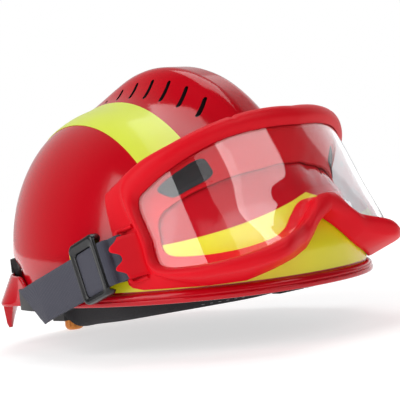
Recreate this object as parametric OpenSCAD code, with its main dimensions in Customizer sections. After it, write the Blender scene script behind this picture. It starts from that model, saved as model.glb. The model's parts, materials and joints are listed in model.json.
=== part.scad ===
// Vented rescue helmet: crested shell, reflective stripes, inner harness and parked goggles.
// X points forward, Y to the wearer's left, Z up. Shapes are drawn with the rim's underside at zero.

/* [Shell] */
// Length of the dome at its widest, front to back
shell_l = 291; // [275:1:305]
// Width of the dome at its widest
shell_w = 226; // [214:1:238]
// Height of the dome above the rim
dome_h = 143.5; // [136:0.5:152]
// Squareness of the outline seen from above, 2 is an ellipse
plan_power = 2.14; // [2.04:0.02:2.3]
// Height of the widest line of the dome above the rim
belt_z = 25; // [22:1:30]
// How far the top of the dome sits behind the middle
top_back = 30; // [20:1:40]
// Wall thickness of the shell
wall = 3; // [2.4:0.1:3.6]
// Height of the rim bead
bead_h = 8; // [6:0.5:10]
// How far the rim bead stands out from the dome
bead_out = 3; // [2:0.5:4]

/* [Crest] */
// Height of the crest above the rim
crest_h = 164.5; // [158:0.5:172]
// Reach of the crest arc in front of and behind the middle
crest_reach = 122; // [114:1:130]
// Width of the crest across its top
crest_w = 28; // [22:1:34]
// Lean of the crest walls from the vertical, in degrees
crest_lean = 31; // [25:1:36]
// Size of the hollow fillet between crest and dome
valley_r = 16; // [10:1:22]
// Number of vent slots on each side of the crest
slots = 7; // [5:1:7]
// Distance between neighbouring vent slots
slot_pitch = 17.5; // [16:0.5:18.5]
// Width of a vent slot
slot_w = 2.4; // [2:0.2:3.2]
// Distance of the rearmost slot behind the middle
slot_back = 43; // [38:1:48]

/* [Nape flange] */
// Height of the flange above the rim
flange_h = 22; // [18:1:26]
// How far the foot of the flange flares out from the dome
flange_flare = 14; // [11:1:16]
// Thickness of the flange
flange_t = 3; // [2.4:0.2:3.6]
// Depth of the channel between flange and dome
channel_in = 6; // [5:0.5:7]
// How far the ears at the nape corners reach below the rim
ear_drop = 21; // [16:1:24]

/* [Stripes] */
// Width of the two top stripes
stripe_w = 31; // [26:1:36]
// Thickness of the reflective film
film_t = 0.5; // [0.3:0.1:0.8]
// Height of the front stripe's upper edge at the sides
front_stripe_z = 37; // [32:1:42]
// How far the front stripe rises in the middle
front_stripe_rise = 24; // [16:1:28]

/* [Harness] */
// Thickness of the impact liner
liner_t = 12; // [8:1:14]
// Length of the headband, front to back
head_l = 196; // [188:1:204]
// Width of the headband
head_w = 158; // [150:1:166]
// Height of the headband strip
band_h = 30; // [26:1:34]
// Thickness of the headband strip
band_t = 1.8; // [1.4:0.1:2.2]
// Height of the headband's lower edge above the rim
band_z = 4; // [4:1:8]
// Width of the crown webbing
web_w = 19; // [16:1:22]
// Thickness of the crown webbing
web_t = 1.3; // [1:0.1:1.6]
// Diameter of the size adjuster knob
knob_d = 16; // [14:0.5:18]
// How far the knob reaches below the rim
knob_drop = 36; // [33:1:39]
// Number of teeth on the pinion
pinion_teeth = 8; // [8:2:10]
// Tooth pitch of the racks
rack_pitch = 3.8; // [3.6:0.1:4]
// Height of the toothed arms
arm_h = 10; // [8:0.5:11]

/* [Chin strap] */
// Width of the chin strap
chin_w = 15; // [13:1:16]
// Thickness of the chin strap
chin_t = 1.6; // [1.2:0.1:2]

/* [Goggles] */
// Radius of the curved lens
lens_r = 102.9; // [98:0.5:108]
// Backward tilt of the lens, in degrees
lens_tilt = 28.4; // [26:0.5:31]
// Distance from the front of the dome back to the axis of the lens curve
lens_axis_back = 90.5; // [87:0.5:94]
// Height of the lens axis above the rim
lens_axis_z = 28.3; // [26:0.5:31]
// Thickness of the lens
lens_t = 2.2; // [1.8:0.1:2.6]
// How far the frame bar stands proud of the lens
bar_proud = 6.5; // [5:0.5:8]
// Depth of the skirt between the frame bar and the shell
skirt_depth = 34; // [30:1:38]
// Thickness of the skirt
skirt_t = 2.6; // [2:0.2:3.2]

/* [Goggle straps] */
// Width of the elastic strap
strap_w = 30; // [26:1:32]
// Thickness of the elastic strap
strap_t = 1.8; // [1.4:0.1:2.2]
// Downward slope of the strap towards the back, in degrees
strap_slope = 18; // [14:1:20]
// Height of the slider, across the strap
slider_h = 40; // [38:1:44]
// Length of the slider, along the strap
slider_l = 28; // [25:1:31]
// Thickness of the slider
slider_t = 8; // [7:0.5:9]

/* [Hidden] */

// Clearance between pieces that rest on each other
seat = 0.3;
half_l = shell_l / 2;
half_w = shell_w / 2;
// The frame stands on the knob and is centred front to back
rim_z = knob_drop;

shell_red = [0.72, 0.03, 0.09];
frame_red = [0.85, 0.09, 0.14];
lime = [0.9, 0.97, 0.38];
yellow = [0.8, 0.74, 0.16];
black = [0.06, 0.06, 0.07];
slate = [0.27, 0.27, 0.33];
foam_grey = [0.22, 0.22, 0.23];
knob_orange = [0.72, 0.36, 0.05];

function mix(a, b, t) = a + (b - a) * t;
function smooth(v) = let (t = min(1, max(0, v))) t * t * (3 - 2 * t);
function spow(v, e) = sign(v) * pow(abs(v), e);
function soft_max(a, b, k) = max(a, b) + pow(max(k - abs(a - b), 0), 2) / (4 * k);
function soft_min(a, b, k) = min(a, b) - pow(max(k - abs(a - b), 0), 2) / (4 * k);
function flip_y(p) = [p.x, -p.y, p.z];

// Meshes. A grid's rows and columns turn so that their cross product points into the solid.
function pair(a, b, c, d) = [[a, b, c], [a, c, d]];

module sheet_solid(front, back) {
    rows = len(front);
    cols = len(front[0]);
    last_row = rows - 1;
    last_col = cols - 1;
    function f(i, j) = i * cols + j;
    function b(i, j) = rows * cols + i * cols + j;
    polyhedron(
        points = concat([for (r = front) each r], [for (r = back) each r]),
        faces = [
            for (i = [0:last_row - 1], j = [0:last_col - 1]) each concat(
                pair(f(i, j), f(i + 1, j), f(i + 1, j + 1), f(i, j + 1)),
                pair(b(i, j), b(i, j + 1), b(i + 1, j + 1), b(i + 1, j))),
            for (i = [0:last_row - 1]) each concat(
                pair(f(i + 1, 0), f(i, 0), b(i, 0), b(i + 1, 0)),
                pair(f(i, last_col), f(i + 1, last_col), b(i + 1, last_col), b(i, last_col))),
            for (j = [0:last_col - 1]) each concat(
                pair(f(0, j), f(0, j + 1), b(0, j + 1), b(0, j)),
                pair(f(last_row, j + 1), f(last_row, j), b(last_row, j), b(last_row, j + 1)))]);
}

// A section swept through stations, closed into a ring or capped at both ends
module swept_solid(rings, ring = true) {
    n = len(rings);
    m = len(rings[0]);
    steps = ring ? n : n - 1;
    function v(i, j) = (i % n) * m + j % m;
    side = [for (i = [0:steps - 1], j = [0:m - 1])
        each pair(v(i, j), v(i + 1, j), v(i + 1, j + 1), v(i, j + 1))];
    caps = ring ? [] : [[for (j = [0:m - 1]) j], [for (j = [m - 1:-1:0]) (n - 1) * m + j]];
    polyhedron(points = [for (r = rings) each r], faces = concat(side, caps));
}

// Smooth curve through a list of points
function curve(p, steps) = [
    for (i = [0:len(p) - 2], s = [0:steps - 1]) curve_at(p, i, s / steps),
    p[len(p) - 1]];
function curve_at(p, i, t) =
    let (a = p[max(0, i - 1)], b = p[i], c = p[i + 1], d = p[min(len(p) - 1, i + 2)])
    0.5 * (2 * b + (c - a) * t + (2 * a - 5 * b + 4 * c - d) * t * t
        + (3 * b - a - 3 * c + d) * t * t * t);

function rounded_rect(l, h, r, n = 6) = [
    for (q = [0:3], k = [0:n])
        let (a = 90 * q + 90 * k / n, sx = q == 0 || q == 3 ? 1 : -1, sy = q < 2 ? 1 : -1)
        [sx * (l / 2 - r) + r * cos(a), sy * (h / 2 - r) + r * sin(a)]];

module place() {
    translate([centre_x, 0, rim_z]) children();
}

// Outer shape of the shell, as a distance from the middle of the rim in a given direction
dome_round = 1.55;
dome_fullness = 2.6;
side_tuck = 0.008;
tuck_h = 16;
tuck_z = flange_h + tuck_h;
crest_base = 20;
crest_edge_r = 9;
flange_start = 62;
flange_ramp = 25;

function rearness(x) = smooth((-x - flange_start) / flange_ramp);
function tuck(x, z) =
    mix(side_tuck, channel_in / half_l, rearness(x)) * smooth((tuck_z - z) / tuck_h);
function dome_k(t) = pow(1 - pow(t, dome_round), 1 / dome_fullness);
function level(z, inset) = max(0, (z - belt_z) / (dome_h - inset - belt_z));
function within(p, inset) =
    let (t = level(p.z, inset))
    t < 1 && pow(abs(p.x + top_back * t) / (half_l - inset), plan_power)
        + pow(abs(p.y) / (half_w - inset), plan_power)
        < pow(dome_k(t) * (1 - tuck(p.x, p.z)), plan_power);
function dome_reach(d, inset, lo = 40, hi = 230, n = 18) =
    let (m = (lo + hi) / 2)
    n == 0 ? m : within(m * d, inset) ? dome_reach(d, inset, m, hi, n - 1)
        : dome_reach(d, inset, lo, m, n - 1);

function crest_arc(ca, sa, inset) =
    let (rx = crest_reach - inset, rz = crest_h - crest_base - inset,
        q2 = pow(ca / rx, 2) + pow(sa / rz, 2), q1 = sa * crest_base / pow(rz, 2),
        q0 = pow(crest_base / rz, 2) - 1)
    (q1 + sqrt(q1 * q1 - q2 * q0)) / q2;
function crest_dir_reach(d, inset) =
    let (h = norm([d.x, d.z]), arc = crest_arc(d.x / h, d.z / h, inset), lean = tan(crest_lean),
        side = crest_w / 2 - inset / cos(crest_lean) + lean * arc)
    soft_min(arc / h, side / (abs(d.y) + lean * h), crest_edge_r);
function shell_reach(d, inset) =
    soft_max(dome_reach(d, inset), crest_dir_reach(d, inset), valley_r);

function aim(a, b) = [cos(b) * cos(a), sin(b), cos(b) * sin(a)];
function on_shell(p, gap) = let (d = p / norm(p)) d * (shell_reach(d, 0) + gap);
// A point on the dome at a compass angle and a height
function dome_point(phi, z, grow = 0) =
    let (t = level(z, 0), x0 = half_l * spow(cos(phi), 2 / plan_power),
        k = dome_k(t) * (1 - tuck(x0, z)))
    [-top_back * t + (half_l + grow) * k * spow(cos(phi), 2 / plan_power),
        (half_w + grow) * k * spow(sin(phi), 2 / plan_power), z];
// A point near the rim, grown outwards from the belt line of the dome
function rim_point(phi, grow, z) =
    [(half_l + grow) * spow(cos(phi), 2 / plan_power),
        (half_w + grow) * spow(sin(phi), 2 / plan_power), z];
function dome_z(x, y, lo = belt_z, hi = dome_h, n = 16) =
    let (m = (lo + hi) / 2)
    n == 0 ? m : within([x, y, m], 0) ? dome_z(x, y, m, hi, n - 1) : dome_z(x, y, lo, m, n - 1);

// Shell
arc_steps = 48;
side_steps = 16;
inner_arc_steps = 32;
inner_side_steps = 12;

function skin_grid(inset, pole, crowding, steps_a, steps_b) = [
    for (i = [0:steps_a]) [
        for (j = [-steps_b:steps_b])
            let (b = pole * spow(j / steps_b, crowding), d = aim(180 * i / steps_a, b))
            d * shell_reach(d, inset)]];

// A grid of the skin joined to the middle of the rim, as a full solid
module skin_solid(grid) {
    rows = len(grid);
    cols = len(grid[0]);
    function f(i, j) = i * cols + j;
    hub = rows * cols;
    polyhedron(
        points = concat([for (r = grid) each r], [[0, 0, 0]]),
        faces = [
            for (i = [0:rows - 2], j = [0:cols - 2])
                each pair(f(i, j), f(i + 1, j), f(i + 1, j + 1), f(i, j + 1)),
            for (i = [0:rows - 2]) each [
                [f(i + 1, 0), f(i, 0), hub], [f(i, cols - 1), f(i + 1, cols - 1), hub]],
            for (j = [0:cols - 2]) each [
                [f(0, j), f(0, j + 1), hub], [f(rows - 1, j + 1), f(rows - 1, j), hub]]]);
}

module rim_bead() {
    lip = 1.2;
    groove = 1;
    swept_solid([
        for (i = [0:59])
            let (phi = 6 * i, x = rim_point(phi, 0, 0).x,
                inner = -(tuck(x, 0) * half_l + wall - 0.2))
            [rim_point(phi, inner, bead_h), rim_point(phi, 0, bead_h + 0.4),
                rim_point(phi, bead_out - 0.6, bead_h - lip),
                rim_point(phi, bead_out - 0.2, bead_h / 2 + 0.4),
                rim_point(phi, bead_out - groove, bead_h / 2 - 0.2),
                rim_point(phi, bead_out, bead_h / 2 - 0.8),
                rim_point(phi, bead_out, lip), rim_point(phi, bead_out - lip, 0),
                rim_point(phi, inner, 0)]]);
}

// Flared lip round the nape, which leaves a channel behind the dome
flange_top_out = 4;
flange_floor = 3;

module nape_flange() {
    sweep = 74;
    steps = 36;
    swept_solid([
        for (i = [0:steps])
            let (phi = 180 - sweep + 2 * sweep * i / steps, f = rearness(rim_point(phi, 0, 0).x),
                top = mix(flange_floor + 0.5, flange_h, f), foot = mix(bead_out - 0.3, flange_flare, f),
                brow = mix(bead_out - 0.4, flange_top_out, f))
            [rim_point(phi, brow - flange_t, top), rim_point(phi, brow, top), rim_point(phi, foot, 1.2),
                rim_point(phi, foot - 1, 0), rim_point(phi, 0, 0), rim_point(phi, 0, flange_floor),
                rim_point(phi, foot - flange_t, flange_floor)]], ring = false);
}

ear_phi = 37;
ear_spread = 6;
ear_r = 1.5;

module nape_ear() {
    hull() {
        for (a = [-ear_spread, ear_spread], g = [bead_out - ear_r, flange_flare - ear_r])
            translate(rim_point(180 + ear_phi + a, g, ear_r)) sphere(ear_r, $fn = 8);
        translate(rim_point(180 + ear_phi, bead_out, -ear_drop / 4)) sphere(ear_r, $fn = 8);
        for (g = [flange_flare - 4, flange_flare - ear_r])
            translate(rim_point(180 + ear_phi, g, ear_r - ear_drop)) sphere(ear_r, $fn = 8);
    }
}

slot_below_crest = 10.5;
slot_above_valley = 4.5;
slot_wall_y = 28;

module vent_slot(x) {
    high = crest_base + (crest_h - crest_base) * sqrt(1 - pow(x / crest_reach, 2)) - slot_below_crest;
    low = dome_z(x, slot_wall_y) + slot_above_valley;
    hull() for (z = [low, high])
        translate([x, slot_wall_y, z]) rotate([90, 0, 0])
            cylinder(d = slot_w, h = slot_wall_y, center = true, $fn = 8);
}

module shell() {
    color(shell_red) place() difference() {
        union() {
            difference() {
                skin_solid(skin_grid(0, 89, 2, arc_steps, side_steps));
                skin_solid(skin_grid(wall, 89.5, 1.4, inner_arc_steps, inner_side_steps));
            }
            rim_bead();
            nape_flange();
            nape_ear();
            mirror([0, 1, 0]) nape_ear();
        }
        for (i = [0:slots - 1]) {
            vent_slot(i * slot_pitch - slot_back);
            mirror([0, 1, 0]) vent_slot(i * slot_pitch - slot_back);
        }
    }
}

// Reflective film laid on the shell
film_gap = 0.65;
stripe_middle_y = 51.5;
stripe_spread = 0.21;
stripe_front_x = 78;
stripe_rear_x = -112;

module film(grid) {
    sheet_solid([for (r = grid) [for (p = r) on_shell(p, film_gap + film_t)]],
        [for (r = grid) [for (p = r) on_shell(p, film_gap)]]);
}

module stripe_top() {
    steps = 16;
    film([for (i = [0:steps]) [for (j = [0:4])
        let (x = mix(stripe_front_x, stripe_rear_x, i / steps),
            y = -(stripe_middle_y + stripe_spread * x) + stripe_w * (j / 4 - 0.5))
        [x, y, dome_z(x, y)]]]);
}

module stripe_top_right() {
    color(lime) place() stripe_top();
}

module stripe_top_left() {
    color(lime) place() mirror([0, 1, 0]) stripe_top();
}

stripe_end_phi = 89;
stripe_rise_y = 100;

function front_stripe_top(phi) =
    let (y = abs(dome_point(phi, front_stripe_z).y))
    front_stripe_z + front_stripe_rise * pow(max(0, 1 - y / stripe_rise_y), 1.2);

module stripe_front() {
    steps = 40;
    rows = 4;
    foot = bead_h + 1.2;
    color(yellow) place() film([for (i = [0:rows]) [for (j = [0:steps])
        let (phi = stripe_end_phi * (2 * j / steps - 1))
        dome_point(-phi, mix(foot, front_stripe_top(phi), i / rows))]]);
}

// Harness
liner_gap = wall + 1;
liner_z = 39;
liner_top = 0.93;

function liner_point(phi, t, inset) =
    let (k = dome_k(t), h = dome_h - inset - belt_z)
    [-top_back * t + (half_l - inset) * k * spow(cos(phi), 2 / plan_power),
        (half_w - inset) * k * spow(sin(phi), 2 / plan_power), belt_z + h * t];

module impact_liner() {
    rows = 5;
    color(foam_grey) place() swept_solid([
        for (i = [0:29])
            let (phi = 12 * i, inner = liner_gap + liner_t,
                low = (liner_z - belt_z) / (dome_h - liner_gap - belt_z))
            concat([for (j = [rows:-1:0]) liner_point(phi, mix(low, liner_top, j / rows), liner_gap)],
                [for (j = [0:rows]) liner_point(phi, mix(low, liner_top, j / rows), inner)])]);
}

function oval(l, w, a0, a1, steps) = [
    for (i = [0:steps]) let (a = mix(a0, a1, i / steps))
        [l / 2 * spow(cos(a), 2 / plan_power), w / 2 * spow(sin(a), 2 / plan_power)]];
function oval_reach(l, w, a) =
    pow(pow(abs(cos(a)) * 2 / l, plan_power) + pow(abs(sin(a)) * 2 / w, plan_power), -1 / plan_power);

module oval_strip(l, w, t, h, a0, a1, steps) {
    linear_extrude(h) polygon(concat(oval(l, w, a0, a1, steps), oval(l - 2 * t, w - 2 * t, a1, a0, steps)));
}

clip_angles = [30, 90, 150, 210, 270, 330];
clip_w = web_w + 4;
clip_h = 9;
clip_z = band_z + 9;
guide_x = -60;
arm_z = -arm_h - 3;

module headband() {
    guide_t = 2;
    guide_l = 14;
    color(black) place() {
        difference() {
            translate([0, 0, band_z]) linear_extrude(band_h) polygon(oval(head_l, head_w, 0, 355, 71));
            translate([0, 0, band_z - 1]) linear_extrude(band_h + 2)
                polygon(oval(head_l - 2 * band_t, head_w - 2 * band_t, 0, 355, 71));
        }
        for (side = [-1, 1]) difference() {
            translate([guide_x - guide_l / 2, side * guide_y - guide_out / 2, arm_z - guide_t - seat])
                cube([guide_l, guide_out, band_z - arm_z + guide_t + seat + 8]);
            arm_slot(side);
            translate([0, 0, band_z]) linear_extrude(band_h)
                polygon(oval(head_l - band_t, head_w - band_t, 0, 355, 71));
        }
    }
}

module sweatband() {
    t = 3;
    gap = band_t + seat;
    color(foam_grey) place() translate([0, 0, band_z + 2])
        oval_strip(head_l - 2 * gap, head_w - 2 * gap, t, band_h - 4, -75, 75, 40);
}

module suspension_clips() {
    color(black) place() for (a = clip_angles)
        let (from = oval_reach(head_l, head_w, a) + 1.2, fit = 1 - tuck(half_l * cos(a), clip_z) - 0.004)
        intersection() {
            rotate([0, 0, a]) translate([from, -clip_w / 2, clip_z]) difference() {
                cube([half_l - from, clip_w, clip_h]);
                translate([10, clip_w / 2 - web_w / 2, -1]) cube([4, web_w, clip_h + 2]);
            }
            linear_extrude(rim_z)
                polygon(oval(fit * (shell_l - 2 * wall), fit * (shell_w - 2 * wall), 0, 355, 71));
        }
}

crown_z = 112;
pad_r = 26;
pad_t = 5;

module crown_straps() {
    steps = 12;
    color(black) place() for (k = [0:2])
        let (a = clip_angles[k], ra = oval_reach(head_l, head_w, a) + 12,
            rb = oval_reach(head_l, head_w, a + 180) + 12, foot = clip_z + clip_h + seat,
            top = crown_z + k * (web_t + 0.4))
        rotate([0, 0, a]) sheet_solid(
            [for (i = [0:steps]) [for (y = [-1, 1])
                let (t = 180 * i / steps) [(t < 90 ? ra : rb) * cos(t), y * web_w / 2, foot + (top - foot) * sin(t)]]],
            [for (i = [0:steps]) [for (y = [-1, 1])
                let (t = 180 * i / steps)
                [((t < 90 ? ra : rb) - web_t) * cos(t), y * web_w / 2, foot + (top - foot - web_t) * sin(t)]]]);
    color(black) place() translate([0, 0, crown_z - web_t]) cylinder(d = 9, h = 3 * web_t + 0.8, $fn = 24);
}

module crown_pad() {
    foot = clip_z + clip_h + seat;
    sag = sqrt(1 - pow(pad_r / (head_w / 2 + 12 - web_t), 2));
    color(foam_grey) place() translate([0, 0, foot + (crown_z - foot - web_t) * sag + 2 * seat - pad_t])
        cylinder(r = pad_r, h = pad_t, $fn = 48);
}

// Size adjuster: two toothed arms run past a pinion, one on each side of it
sun_teeth = 108;
module_size = rack_pitch / PI;
pinion_r = pinion_teeth * module_size / 2;
inner_r = sun_teeth * module_size / 2;
outer_r = (sun_teeth + 2 * pinion_teeth) * module_size / 2;
arm_r = inner_r + pinion_r;
arm_centre = -78;
addendum = 1.05;
dedendum = 1.5;
arm_back = 1.4;
knob_x = arm_centre - arm_r;
guide_y = 66.5;
guide_out = 26;
shaft_d = 6;
housing_wall = 2.2;
housing_span = 17;
arm_overlap = 24;
arm_reach = 112;
tooth_span = 20;

function arc_points(r, a0, a1, steps) = [for (i = [0:steps]) let (a = mix(a0, a1, i / steps)) [r * cos(a), r * sin(a)]];
module arc_strip(r0, r1, a0, a1, z, h, steps = 32) {
    translate([arm_centre, 0, z]) linear_extrude(h)
        polygon(concat(arc_points(r1, a0, a1, steps), arc_points(r0, a1, a0, steps)));
}

// One rack tooth as a wedge on a large circle, pointing outwards or inwards
module rack_tooth(r, a, out) {
    root = r - out * (dedendum + arm_back / 3);
    tip = r + out * addendum;
    half_root = 0.33 * rack_pitch / r * 180 / PI;
    half_tip = 0.11 * rack_pitch / r * 180 / PI;
    side = out * half_root;
    polygon([root * [cos(a - side), sin(a - side)], tip * [cos(a - out * half_tip), sin(a - out * half_tip)],
        tip * [cos(a + out * half_tip), sin(a + out * half_tip)], root * [cos(a + side), sin(a + side)]]);
}

module nape_arm(r, out, a0, a1, teeth_on_circle) {
    root = r - out * dedendum;
    back = root - out * arm_back;
    pitch = 360 / teeth_on_circle;
    n = floor(tooth_span / pitch);
    translate([arm_centre, 0, arm_z]) linear_extrude(arm_h) union() {
        polygon(concat(arc_points(max(root, back), a0, a1, 40), arc_points(min(root, back), a1, a0, 40)));
        for (k = [-n:n - 1]) rack_tooth(r, 180 + (k + 0.5) * pitch, out);
    }
}

module arm_slot(side) {
    r0 = inner_r - dedendum - arm_back - seat;
    r1 = outer_r + dedendum + arm_back + seat;
    arc_strip(side < 0 ? r0 : r1 - arm_back - 2 * seat, side < 0 ? r0 + arm_back + 2 * seat : r1,
        side < 0 ? 240 : 60, side < 0 ? 300 : 120, arm_z - seat, arm_h + 2 * seat);
}

module nape_arm_right() {
    color(black) place() nape_arm(inner_r, 1, 180 - arm_overlap, 180 + arm_reach, sun_teeth);
}

module nape_arm_left() {
    color(black) place() nape_arm(outer_r, -1, 180 - arm_reach, 180 + arm_overlap, sun_teeth + 2 * pinion_teeth);
}

housing_top = -0.6;
housing_foot = -19;

module ratchet_housing() {
    r0 = inner_r - dedendum - arm_back - seat;
    r1 = outer_r + dedendum + arm_back + seat;
    color(black) place() difference() {
        arc_strip(r0 - housing_wall, r1 + housing_wall, 180 - housing_span, 180 + housing_span,
            housing_foot, housing_top - housing_foot);
        arc_strip(r0, r1, 160 - housing_span, 200 + housing_span, arm_z - seat, arm_h + 2 * seat);
        translate([knob_x, 0, housing_foot - 1]) cylinder(d = shaft_d + 0.1, h = 30, $fn = 48);
    }
}

module ratchet_pinion() {
    half_root = 0.3 * 360 / pinion_teeth;
    half_tip = 0.1 * 360 / pinion_teeth;
    root = pinion_r - dedendum;
    tip = pinion_r + addendum;
    color(knob_orange) place() translate([knob_x, 0, arm_z + 0.5]) linear_extrude(arm_h - 1) difference() {
        union() {
            circle(r = root + 0.02, $fn = 48);
            for (k = [0:pinion_teeth - 1]) let (a = 360 * k / pinion_teeth)
                polygon([[0, 0], root * [cos(a - half_root), sin(a - half_root)],
                    tip * [cos(a - half_tip), sin(a - half_tip)], tip * [cos(a + half_tip), sin(a + half_tip)],
                    root * [cos(a + half_root), sin(a + half_root)]]);
        }
        circle(d = shaft_bore, $fn = 48);
    }
}

pin_d = 3.4;
shaft_bore = pin_d + 0.1;
knob_gap = 0.6;
knob_flutes = 12;

module ratchet_knob() {
    knob_h = knob_drop + housing_foot - knob_gap;
    round_r = 4;
    color(knob_orange) place() translate([knob_x, 0, -knob_drop]) {
        difference() {
            rotate_extrude($fn = 64) polygon(concat([[0, 0], [knob_d / 2 - round_r, 0]],
                [for (a = [-75:15:0]) [knob_d / 2 - round_r + round_r * cos(a), round_r + round_r * sin(a)]],
                [[knob_d / 2, knob_h - 1], [knob_d / 2 - 1, knob_h], [0, knob_h]]));
            for (k = [0:knob_flutes - 1]) rotate([0, 0, 360 * k / knob_flutes])
                translate([knob_d / 2 + 0.5, 0, round_r]) cylinder(r = 1.1, h = knob_h, $fn = 16);
        }
        cylinder(d = shaft_d, h = knob_drop + arm_z - 0.3, $fn = 48);
        cylinder(d = pin_d, h = knob_drop + arm_z + arm_h, $fn = 48);
    }
}

module nape_pad() {
    r1 = inner_r - dedendum - arm_back - seat - housing_wall - seat;
    color(foam_grey) place() arc_strip(r1 - 5, r1, 180 - housing_span, 180 + housing_span, housing_foot + 1,
        housing_top - housing_foot - 2, 12);
}

// Chin strap: anchored inside the shell, folded forward under the rim, closed by a buckle
anchor_z = 10;
buckle_x = 109;
buckle_z = 2;
chin_route = [[-26.5, -103.2, 2], [-21, -101.6, -8], [-11, -97, -15.5], [10, -95, -14], [35, -92, -12],
    [58, -85, -9.5], [78, -74, -7.5], [94, -58, -6], [105, -40, -5], [109, -20.4, -4]];

// A ribbon on edge: each route point is its lower edge
module ribbon(route, height, thick, steps) {
    p = curve(route, steps);
    n = len(p);
    swept_solid([
        for (i = [0:n - 1])
            let (d = p[min(n - 1, i + 1)] - p[max(0, i - 1)], q = [d.y, -d.x, 0] / norm([d.x, d.y]) * thick / 2,
                up = [0, 0, height])
            [p[i] + q + up, p[i] - q + up, p[i] - q, p[i] + q]], ring = false);
}

module chin_strap(side) {
    place() mirror([0, side, 0]) ribbon(chin_route, chin_w, chin_t, 3);
}

module chin_strap_right() {
    color(black) chin_strap(0);
}

module chin_strap_left() {
    color(black) chin_strap(1);
}

anchor_phi = 256;
anchor_t = 2.4;

// A strip that follows the rim between two compass angles
module rim_strip(phi, half_span, profile) {
    steps = 8;
    swept_solid([
        for (i = [0:steps]) [
            for (q = profile) rim_point(phi + half_span * (1 - 2 * i / steps), q[0], q[1])]], ring = false);
}

module chin_anchor(side) {
    out = -wall - 1.8;
    place() mirror([0, side, 0]) rim_strip(anchor_phi, 6, [[out, anchor_z + 12], [out - anchor_t, anchor_z + 12],
        [out - anchor_t, anchor_z - 5], [out, anchor_z - 5]]);
}

module chin_anchor_right() {
    color(black) chin_anchor(0);
}

module chin_anchor_left() {
    color(black) chin_anchor(1);
}

socket_l = 25.5;
plug_l = 13;
buckle_w = 18;
buckle_t = 8;

module chin_buckle_socket() {
    color(black) place() translate([buckle_x - buckle_t / 2, -socket_l + 6, buckle_z - buckle_w / 2 + 2]) difference() {
        cube([buckle_t, socket_l, buckle_w]);
        translate([2, 8, 2]) cube([buckle_t - 4, socket_l, buckle_w - 4]);
    }
}

module chin_buckle_plug() {
    color(black) place() translate([buckle_x, 6.4, buckle_z + 2]) {
        translate([-buckle_t / 2, 0, -buckle_w / 2]) cube([buckle_t, plug_l, buckle_w]);
        for (z = [-1, 0, 1]) translate([-1.7, -13, z * 4.8 - 1.6]) cube([3.4, 14, 3.2]);
    }
}

// Clips in the nape channel that hold a strap
clip_top = 33;

module strap_clip(side) {
    place() mirror([0, side, 0]) rim_strip(180 + ear_phi + 2, 4, [[3.8, clip_top], [-0.4, clip_top],
        [-1.1, flange_h + 5], [-1.1, bead_h + 0.8], [0.6, bead_h + 0.8], [0.6, flange_h + seat], [3.8, flange_h + seat]]);
}

module strap_clip_right() {
    color(black) strap_clip(0);
}

module strap_clip_left() {
    color(black) strap_clip(1);
}

// Goggles. A lens point is a compass angle, a height along the lens and a distance from its axis.
lens_axis_x = half_l - lens_axis_back;
function lens_point(g, h, r) =
    [lens_axis_x + r * cos(g) * cos(lens_tilt) - h * sin(lens_tilt), -r * sin(g),
        lens_axis_z + r * cos(g) * sin(lens_tilt) + h * cos(lens_tilt)];

// Edge of the lens opening and outer edge of the frame bar, from the brow round to the nose
opening_edge = [[0, 34], [16, 36], [32, 37.8], [48, 36.4], [63.7, 32.7], [72.3, 26.9], [74, 2], [74.9, -16.7],
    [62.6, -30.1], [46.7, -38.8], [31.1, -39.9], [22, -35.5], [15, -26.1], [8, -20], [0, -18]];
bar_edge = [[0, 48.6], [17, 50.5], [33, 51], [50, 50.3], [66, 50], [76, 42], [77.5, 3], [78.5, -20],
    [66.3, -36.5], [47.5, -49], [31, -51.5], [23, -48], [14.5, -35], [7, -29.5], [0, -28.5]];
// How far the inner wall draws in towards the face, as a share of the opening's height
face_ring_edge = [[0, 18], [15, 18.5], [30, 19], [45, 18.6], [57, 18], [68, 14], [71.5, 1], [71.5, -13],
    [60, -24], [45.5, -31], [31.5, -32.5], [23.5, -29], [17, -21], [9, -13], [0, -11]];
frame_steps = 2;
rear_plane = -3;
rear_lean = 0.15;

function mirrored_loop(half) = concat(half, [for (i = [len(half) - 2:-1:1]) [-half[i][0], half[i][1]]]);
open_loop = mirrored_loop(curve(opening_edge, frame_steps));
bar_loop = mirrored_loop(curve(bar_edge, frame_steps));
ring_loop = mirrored_loop(curve(face_ring_edge, frame_steps));

// The skirt runs back from the bar, square to the middle of the lens, and lies on the shell
function skirt_foot(g, h, gap) =
    let (n = lens_r * cos(g), back = max(rear_plane + rear_lean * h, n - skirt_depth), p = lens_point(g, h, lens_r),
        dn = back - n)
    on_shell([p.x + dn * cos(lens_tilt), p.y, max(bead_h + 1.4, p.z + dn * sin(lens_tilt))], gap);
// Where a line from a lens point to the lens axis meets the shell, or a skin over it
function ring_foot(g, h, gap, lo = 45, hi = lens_r, n = 14) =
    let (m = (lo + hi) / 2, p = lens_point(g, h, m))
    n == 0 ? p : clearance(p) < gap ? ring_foot(g, h, gap, m, hi, n - 1) : ring_foot(g, h, gap, lo, m, n - 1);
function clearance(p) = norm(p) - shell_reach(p / norm(p), 0);
function off_shell(p, gap) = clearance(p) < gap ? on_shell(p, gap) : p;

frame_gap = 2.4;
lip_t = 0.9;
ring_t = 1.9;

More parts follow.
